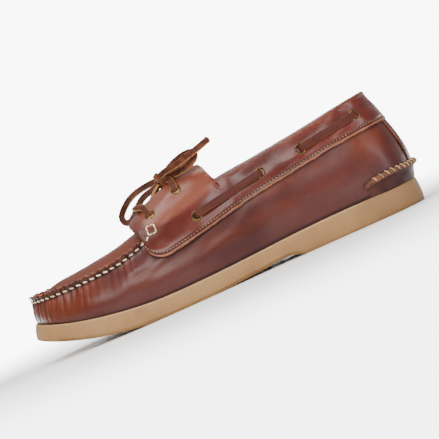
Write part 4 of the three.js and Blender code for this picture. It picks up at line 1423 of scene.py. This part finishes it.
def make_bow():
    """The knot, the lace's two halves, the bar between the flaps and the crossing under the knot."""
    knot_at = np.array(KNOT, float)
    bm = bmesh.new()
    turns = np.linspace(-0.3, 2 * math.pi + 0.1, 12)
    run, rise = np.array(KNOT_RUN), np.array([KNOT_RUN[2], 0, -KNOT_RUN[0]])
    ring = [knot_at + rise * 6.6 * math.sin(a) + (0, 6.4 * math.cos(a) + 3.6, 0) for a in turns]
    line = drawn(ring, 0.8)
    strap(bm, line, np.repeat([run], len(line), 0), 4.8, 2.4)
    turns = np.linspace(0.4, 2 * math.pi + 0.3, 10)
    roll = [knot_at + (-3.5 + 3.2 * math.cos(a), 5.5 - 1.5 * math.sin(a), 3.5 + 2.8 * math.sin(a)) for a in turns]
    line = drawn(roll, 0.7)
    strap(bm, line, np.repeat([[0.2, 1.0, 0.3]], len(line), 0), 4.2, 2.3)
    knot = finish_piece(bm, "bow_knot", ["lace"], ["lace_knot"])
    outer = half_lace(
        "lace_half_outer", 1, SMALL_LOOP, OUTER_END,
        ([(169.5, 1.5, 88.4), (171.3, -1.8, 89.2), (170.3, -1.5, 91.6), (168, 2, 92.6)],
         [(166.5, 4.5, 89.6), (170, 0.8, 88), (172.8, 1.5, 90.5)]),
        BOW_FACE, ["lace_loop_outer", "lace_end_outer", "lace_rise_outer"])
    inner = half_lace(
        "lace_half_inner", -1, BIG_LOOP, INNER_END,
        ([(169.2, -1.5, 90.2), (168.6, 1.8, 91.2), (170.2, -1.2, 92.0)],
         [(173.5, -1.0, 87.0), (169.5, 1.5, 88), (166, 0.5, 91.2)]),
        BOW_FACE, ["lace_loop_inner", "lace_end_inner", "lace_rise_inner"])
    bar = list(FRONT_BAR) + [(s, -t, z) for s, t, z in FRONT_BAR[-2::-1]]
    seats = [FINE_BAND.seat(*FLAP_EYELETS[0], side) for side in (1, -1)]
    route = [seats[0][0] - seats[0][1] * 1.2, seats[0][0] + seats[0][1] * 1.2, *bar,
             seats[1][0] + seats[1][1] * 1.2, seats[1][0] - seats[1][1] * 1.2]
    line = drawn(route, 1.0)
    bm = bmesh.new()
    strap(bm, line, np.repeat([[1.0, 0.0, -0.5]], len(line), 0), 4.4, LACE_THICK)
    front = finish_piece(bm, "lace_front_bar", ["lace"], ["lace_bar"])
    bm = bmesh.new()
    for side in (1, -1):
        cross = drawn([(s, t * side, z) for s, t, z in CROSSING], 1.0)
        strap(bm, cross, np.repeat([[0.4, 1.0 * side, 0.3]], len(cross), 0), 3.8, LACE_THICK)
    crossing = finish_piece(bm, "lace_crossing", ["lace"])
    return knot, outer, inner, front, crossing


# ---- camera and stage -------------------------------------------------------------------------------------------
def make_camera(settings):
    """The camera, level with the shoe's outer side and rolled."""
    low, high = (Vector(corner) for corner in CAD_BOX)
    target = (low + high) / 2 + Vector(settings.aim)
    tilt, roll = settings.elevation, settings.roll
    back = Vector((math.cos(tilt), 0, math.sin(tilt)))
    flat_right, flat_up = Vector((0, 1, 0)), Vector((-math.sin(tilt), 0, math.cos(tilt)))
    right = flat_right * math.cos(roll) - flat_up * math.sin(roll)
    up = flat_up * math.cos(roll) + flat_right * math.sin(roll)
    lens = bpy.data.cameras.new("camera")
    lens.lens, lens.sensor_width, lens.clip_end = settings.lens, 36, 20
    camera = bpy.data.objects.new("camera", lens)
    bpy.context.collection.objects.link(camera)
    turn = Matrix((right, up, back)).transposed().to_4x4()
    camera.matrix_world = Matrix.Translation(target + back * settings.distance) @ turn
    bpy.context.scene.camera = camera


# Name, place, size, power and colour of each soft lamp.
LIGHTS = [
    ("key", (1.15, -0.25, 0.85), (1.3, 0.4), 26, (1.0, 0.97, 0.95)),
    ("strip", (0.75, 0.95, 0.5), (0.2, 0.9), 8, (1.0, 0.94, 0.96)),
    ("top", (-0.2, -0.1, 1.3), (0.9, 0.6), 16, (1.0, 1.0, 1.0)),
]
# How squarely a direction must point behind the shoe for the white to start, and to be full.
WORLD_CONE, FLOOR_CONE = (0.97, 0.993), (0.0, 0.7)


def white_by_way(finish, way, settings, start, full):
    """Strength of the studio's white in a direction: bright behind the shoe's inner side, softer before it."""
    back = finish.step(way * -1, start, full)
    return back * (settings.backdrop - settings.front) + settings.front


def make_stage(settings):
    """The floor, the studio's white and the lamps."""
    size = settings.floor_size
    bm = bmesh.new()
    bmesh.ops.create_grid(bm, x_segments=40, y_segments=40, size=size / 2)
    mesh = bpy.data.meshes.new("floor")
    bm.to_mesh(mesh)
    bm.free()
    floor = bpy.data.objects.new("floor", mesh)
    bpy.context.collection.objects.link(floor)
    finish = Finish("studio_floor", roughness=0.5, specular_ior_level=0.25)
    away = finish.node("ShaderNodeVectorMath", {"operation": "LENGTH"}, {0: finish.place}, output="Value")
    finish.set(base_color=finish.blend(finish.noise(6, 2), (0.88, 0.88, 0.88, 1), (0.92, 0.92, 0.92, 1)))
    way = finish.axes()[0] / away.highest(0.01)
    before = finish.step(way, 0.0, 0.6) * settings.floor_glow
    white = white_by_way(finish, way, settings, *FLOOR_CONE).highest(before)
    glow = finish.node("ShaderNodeEmission", {}, {"Color": (1, 1, 1, 1), "Strength": white})
    mixed = finish.node("ShaderNodeMixShader", {}, {0: finish.step(away, 0.1, 0.5)})
    mixer = mixed.output.node
    finish.tree.links.new(finish.shader.outputs[0], mixer.inputs[1])
    finish.tree.links.new(glow.output, mixer.inputs[2])
    finish.tree.links.new(mixed.output, finish.tree.nodes["Material Output"].inputs["Surface"])
    mesh.materials.append(finish.material)

    world = bpy.data.worlds.new("studio")
    bpy.context.scene.world = world
    world.use_nodes = True
    sky = Nodes(world.node_tree, "Generated")
    background = world.node_tree.nodes["Background"]
    background.inputs["Color"].default_value = (1, 1, 1, 1)
    sky.put(background.inputs["Strength"], white_by_way(sky, sky.axes()[0], settings, *WORLD_CONE))

    middle = Vector((0, 0, 0.05))
    for name, place_at, size, power, colour in LIGHTS:
        data = bpy.data.lights.new(name, "AREA")
        data.shape, data.size, data.size_y = "RECTANGLE", size[0], size[1]
        data.energy, data.color = power, colour
        lamp = bpy.data.objects.new(name, data)
        bpy.context.collection.objects.link(lamp)
        lamp.location = place_at
        lamp.rotation_euler = (middle - Vector(place_at)).to_track_quat("-Z", "Y").to_euler()


# ---- add-on -----------------------------------------------------------------------------------------------------
class ShoeStageSettings(PropertyGroup):
    """Settings of the camera and the studio."""

    lens: FloatProperty(name="Lens", description="Focal length of the camera", default=182.3, unit="CAMERA")
    distance: FloatProperty(name="Distance", description="From the camera to the shoe", default=1.62, unit="LENGTH")
    elevation: FloatProperty(
        name="Elevation", description="Camera above the horizon", default=math.radians(1.5), unit="ROTATION")
    roll: FloatProperty(
        name="Roll", description="Turn of the camera about its own axis", default=math.radians(24), unit="ROTATION")
    aim: FloatVectorProperty(
        name="Aim", description="What the camera looks at, from the middle of the box",
        default=(0, 0.0049, -0.0058), subtype="TRANSLATION")
    floor_size: FloatProperty(name="Floor", description="Width of the floor", default=4.0, unit="LENGTH")
    backdrop: FloatProperty(
        name="Backdrop", description="Strength of the white behind the shoe", default=9.0, subtype="UNSIGNED")
    front: FloatProperty(
        name="Front", description="Strength of the white before the shoe", default=0.7, subtype="UNSIGNED")
    floor_glow: FloatProperty(
        name="Floor glow", description="Strength of the white far out on the floor before the shoe",
        default=5.5, subtype="UNSIGNED")


class ShoeColours(PropertyGroup):
    """Main colour of each leather, the thread, the rubber and the brass."""

    quarter: FloatVectorProperty(
        name="Quarters", description="Leather of the vamp and the quarters", default=tint("#330f0b"),
        subtype="COLOR", size=4, min=0, max=1)
    plug: FloatVectorProperty(
        name="Plug", description="Leather of the plug", default=tint("#491a0a"),
        subtype="COLOR", size=4, min=0, max=1)
    band: FloatVectorProperty(
        name="Collar band", description="Leather of the band and the rolled edge", default=tint("#320c07"),
        subtype="COLOR", size=4, min=0, max=1)
    heel: FloatVectorProperty(
        name="Heel", description="Leather of the heel's tab and strip", default=tint("#2c0e08"),
        subtype="COLOR", size=4, min=0, max=1)
    lace: FloatVectorProperty(
        name="Lace", description="Faces of the leather lace", default=tint("#552d1c"),
        subtype="COLOR", size=4, min=0, max=1)
    thread: FloatVectorProperty(
        name="Thread", description="Thick thread of the hand-sewn seam", default=tint("#e4d1a8"),
        subtype="COLOR", size=4, min=0, max=1)
    rubber: FloatVectorProperty(
        name="Sole", description="Rubber of the sole", default=tint("#8d6b41"),
        subtype="COLOR", size=4, min=0, max=1)
    brass: FloatVectorProperty(
        name="Eyelets", description="Brass of the eyelets", default=tint("#a2834f"),
        subtype="COLOR", size=4, min=0, max=1)


class BuildOperator:
    """Common to every operator of the shoe."""

    bl_options = {"REGISTER", "UNDO"}

    def build(self, context):
        raise NotImplementedError

    def execute(self, context):
        self.build(context)
        return {"FINISHED"}


class SHOE_OT_camera(BuildOperator, Operator):
    """Places the camera beside the shoe"""

    bl_idname, bl_label = "shoe.camera", "Camera"

    def build(self, context):
        make_camera(context.scene.shoe_stage)


class SHOE_OT_bow(BuildOperator, Operator):
    """Runs the lace through its upper eyelets and ties the bow"""

    bl_idname, bl_label = "shoe.bow", "Bow"

    def build(self, context):
        make_bow()


class SHOE_OT_side_laces(BuildOperator, Operator):
    """Lays the lace along the collar band"""

    bl_idname, bl_label = "shoe.side_laces", "Side laces"

    def build(self, context):
        for side, name in ((1, "outer"), (-1, "inner")):
            side_lace(COLLAR_EYELETS[0], COLLAR_EYELETS[1], side, f"lace_{name}_back")
            side_lace(COLLAR_EYELETS[2], COLLAR_EYELETS[3], side, f"lace_{name}_front")


class SHOE_OT_sole(BuildOperator, Operator):
    """Makes the rubber sole and the insole"""

    bl_idname, bl_label = "shoe.sole", "Sole"

    def build(self, context):
        make_outsole()
        make_insole()


class SHOE_OT_upper(BuildOperator, Operator):
    """Makes the vamp and quarters, the plug and the tongue"""

    bl_idname, bl_label = "shoe.upper", "Upper"

    def build(self, context):
        make_upper()
        make_plug()
        make_tongue()


class SHOE_OT_band(BuildOperator, Operator):
    """Makes the collar band, its rolled edge and its eyelets"""

    bl_idname, bl_label = "shoe.band", "Collar band"

    def build(self, context):
        make_band()
        make_roll()
        make_eyelets()


class SHOE_OT_heel(BuildOperator, Operator):
    """Makes the heel tab and the strip above it"""

    bl_idname, bl_label = "shoe.heel", "Heel"

    def build(self, context):
        make_heel()


class SHOE_OT_sewing(BuildOperator, Operator):
    """Sews the seams"""

    bl_idname, bl_label = "shoe.sewing", "Sewing"

    def build(self, context):
        hand_stitches()
        band_stitches()
        box_stitches()
        heel_stitches()


class SHOE_OT_stage(BuildOperator, Operator):
    """Makes the floor, the studio's white and the lamps"""

    bl_idname, bl_label = "shoe.stage", "Stage"

    def build(self, context):
        make_stage(context.scene.shoe_stage)


OPERATORS = (
    SHOE_OT_camera, SHOE_OT_bow, SHOE_OT_side_laces, SHOE_OT_sole, SHOE_OT_upper, SHOE_OT_band, SHOE_OT_heel,
    SHOE_OT_sewing, SHOE_OT_stage,
)


class SHOE_PT_panel(Panel):
    """The shoe's operators, in the order in which they run"""

    bl_idname, bl_label = "SHOE_PT_panel", "Boat shoe"
    bl_space_type, bl_region_type, bl_category = "VIEW_3D", "UI", "Boat shoe"

    def draw(self, context):
        for operator in OPERATORS:
            self.layout.operator(operator.bl_idname)
        for key, group in GROUPS.items():
            for name in group.__annotations__:
                self.layout.prop(getattr(context.scene, key), name)


GROUPS = {"shoe_stage": ShoeStageSettings, "shoe_colours": ShoeColours}
CLASSES = (*GROUPS.values(), *OPERATORS, SHOE_PT_panel)


def register():
    """Adds the add-on's classes and its settings."""
    for item in CLASSES:
        bpy.utils.register_class(item)
    for key, group in GROUPS.items():
        setattr(bpy.types.Scene, key, PointerProperty(type=group))


def unregister():
    """Takes them away again."""
    for key in GROUPS:
        delattr(bpy.types.Scene, key)
    for item in reversed(CLASSES):
        bpy.utils.unregister_class(item)


def main():
    """Runs every operator in order."""
    register()
    for operator in OPERATORS:
        group, name = operator.bl_idname.split(".")
        getattr(getattr(bpy.ops, group), name)()


if __name__ == "__main__":
    main()
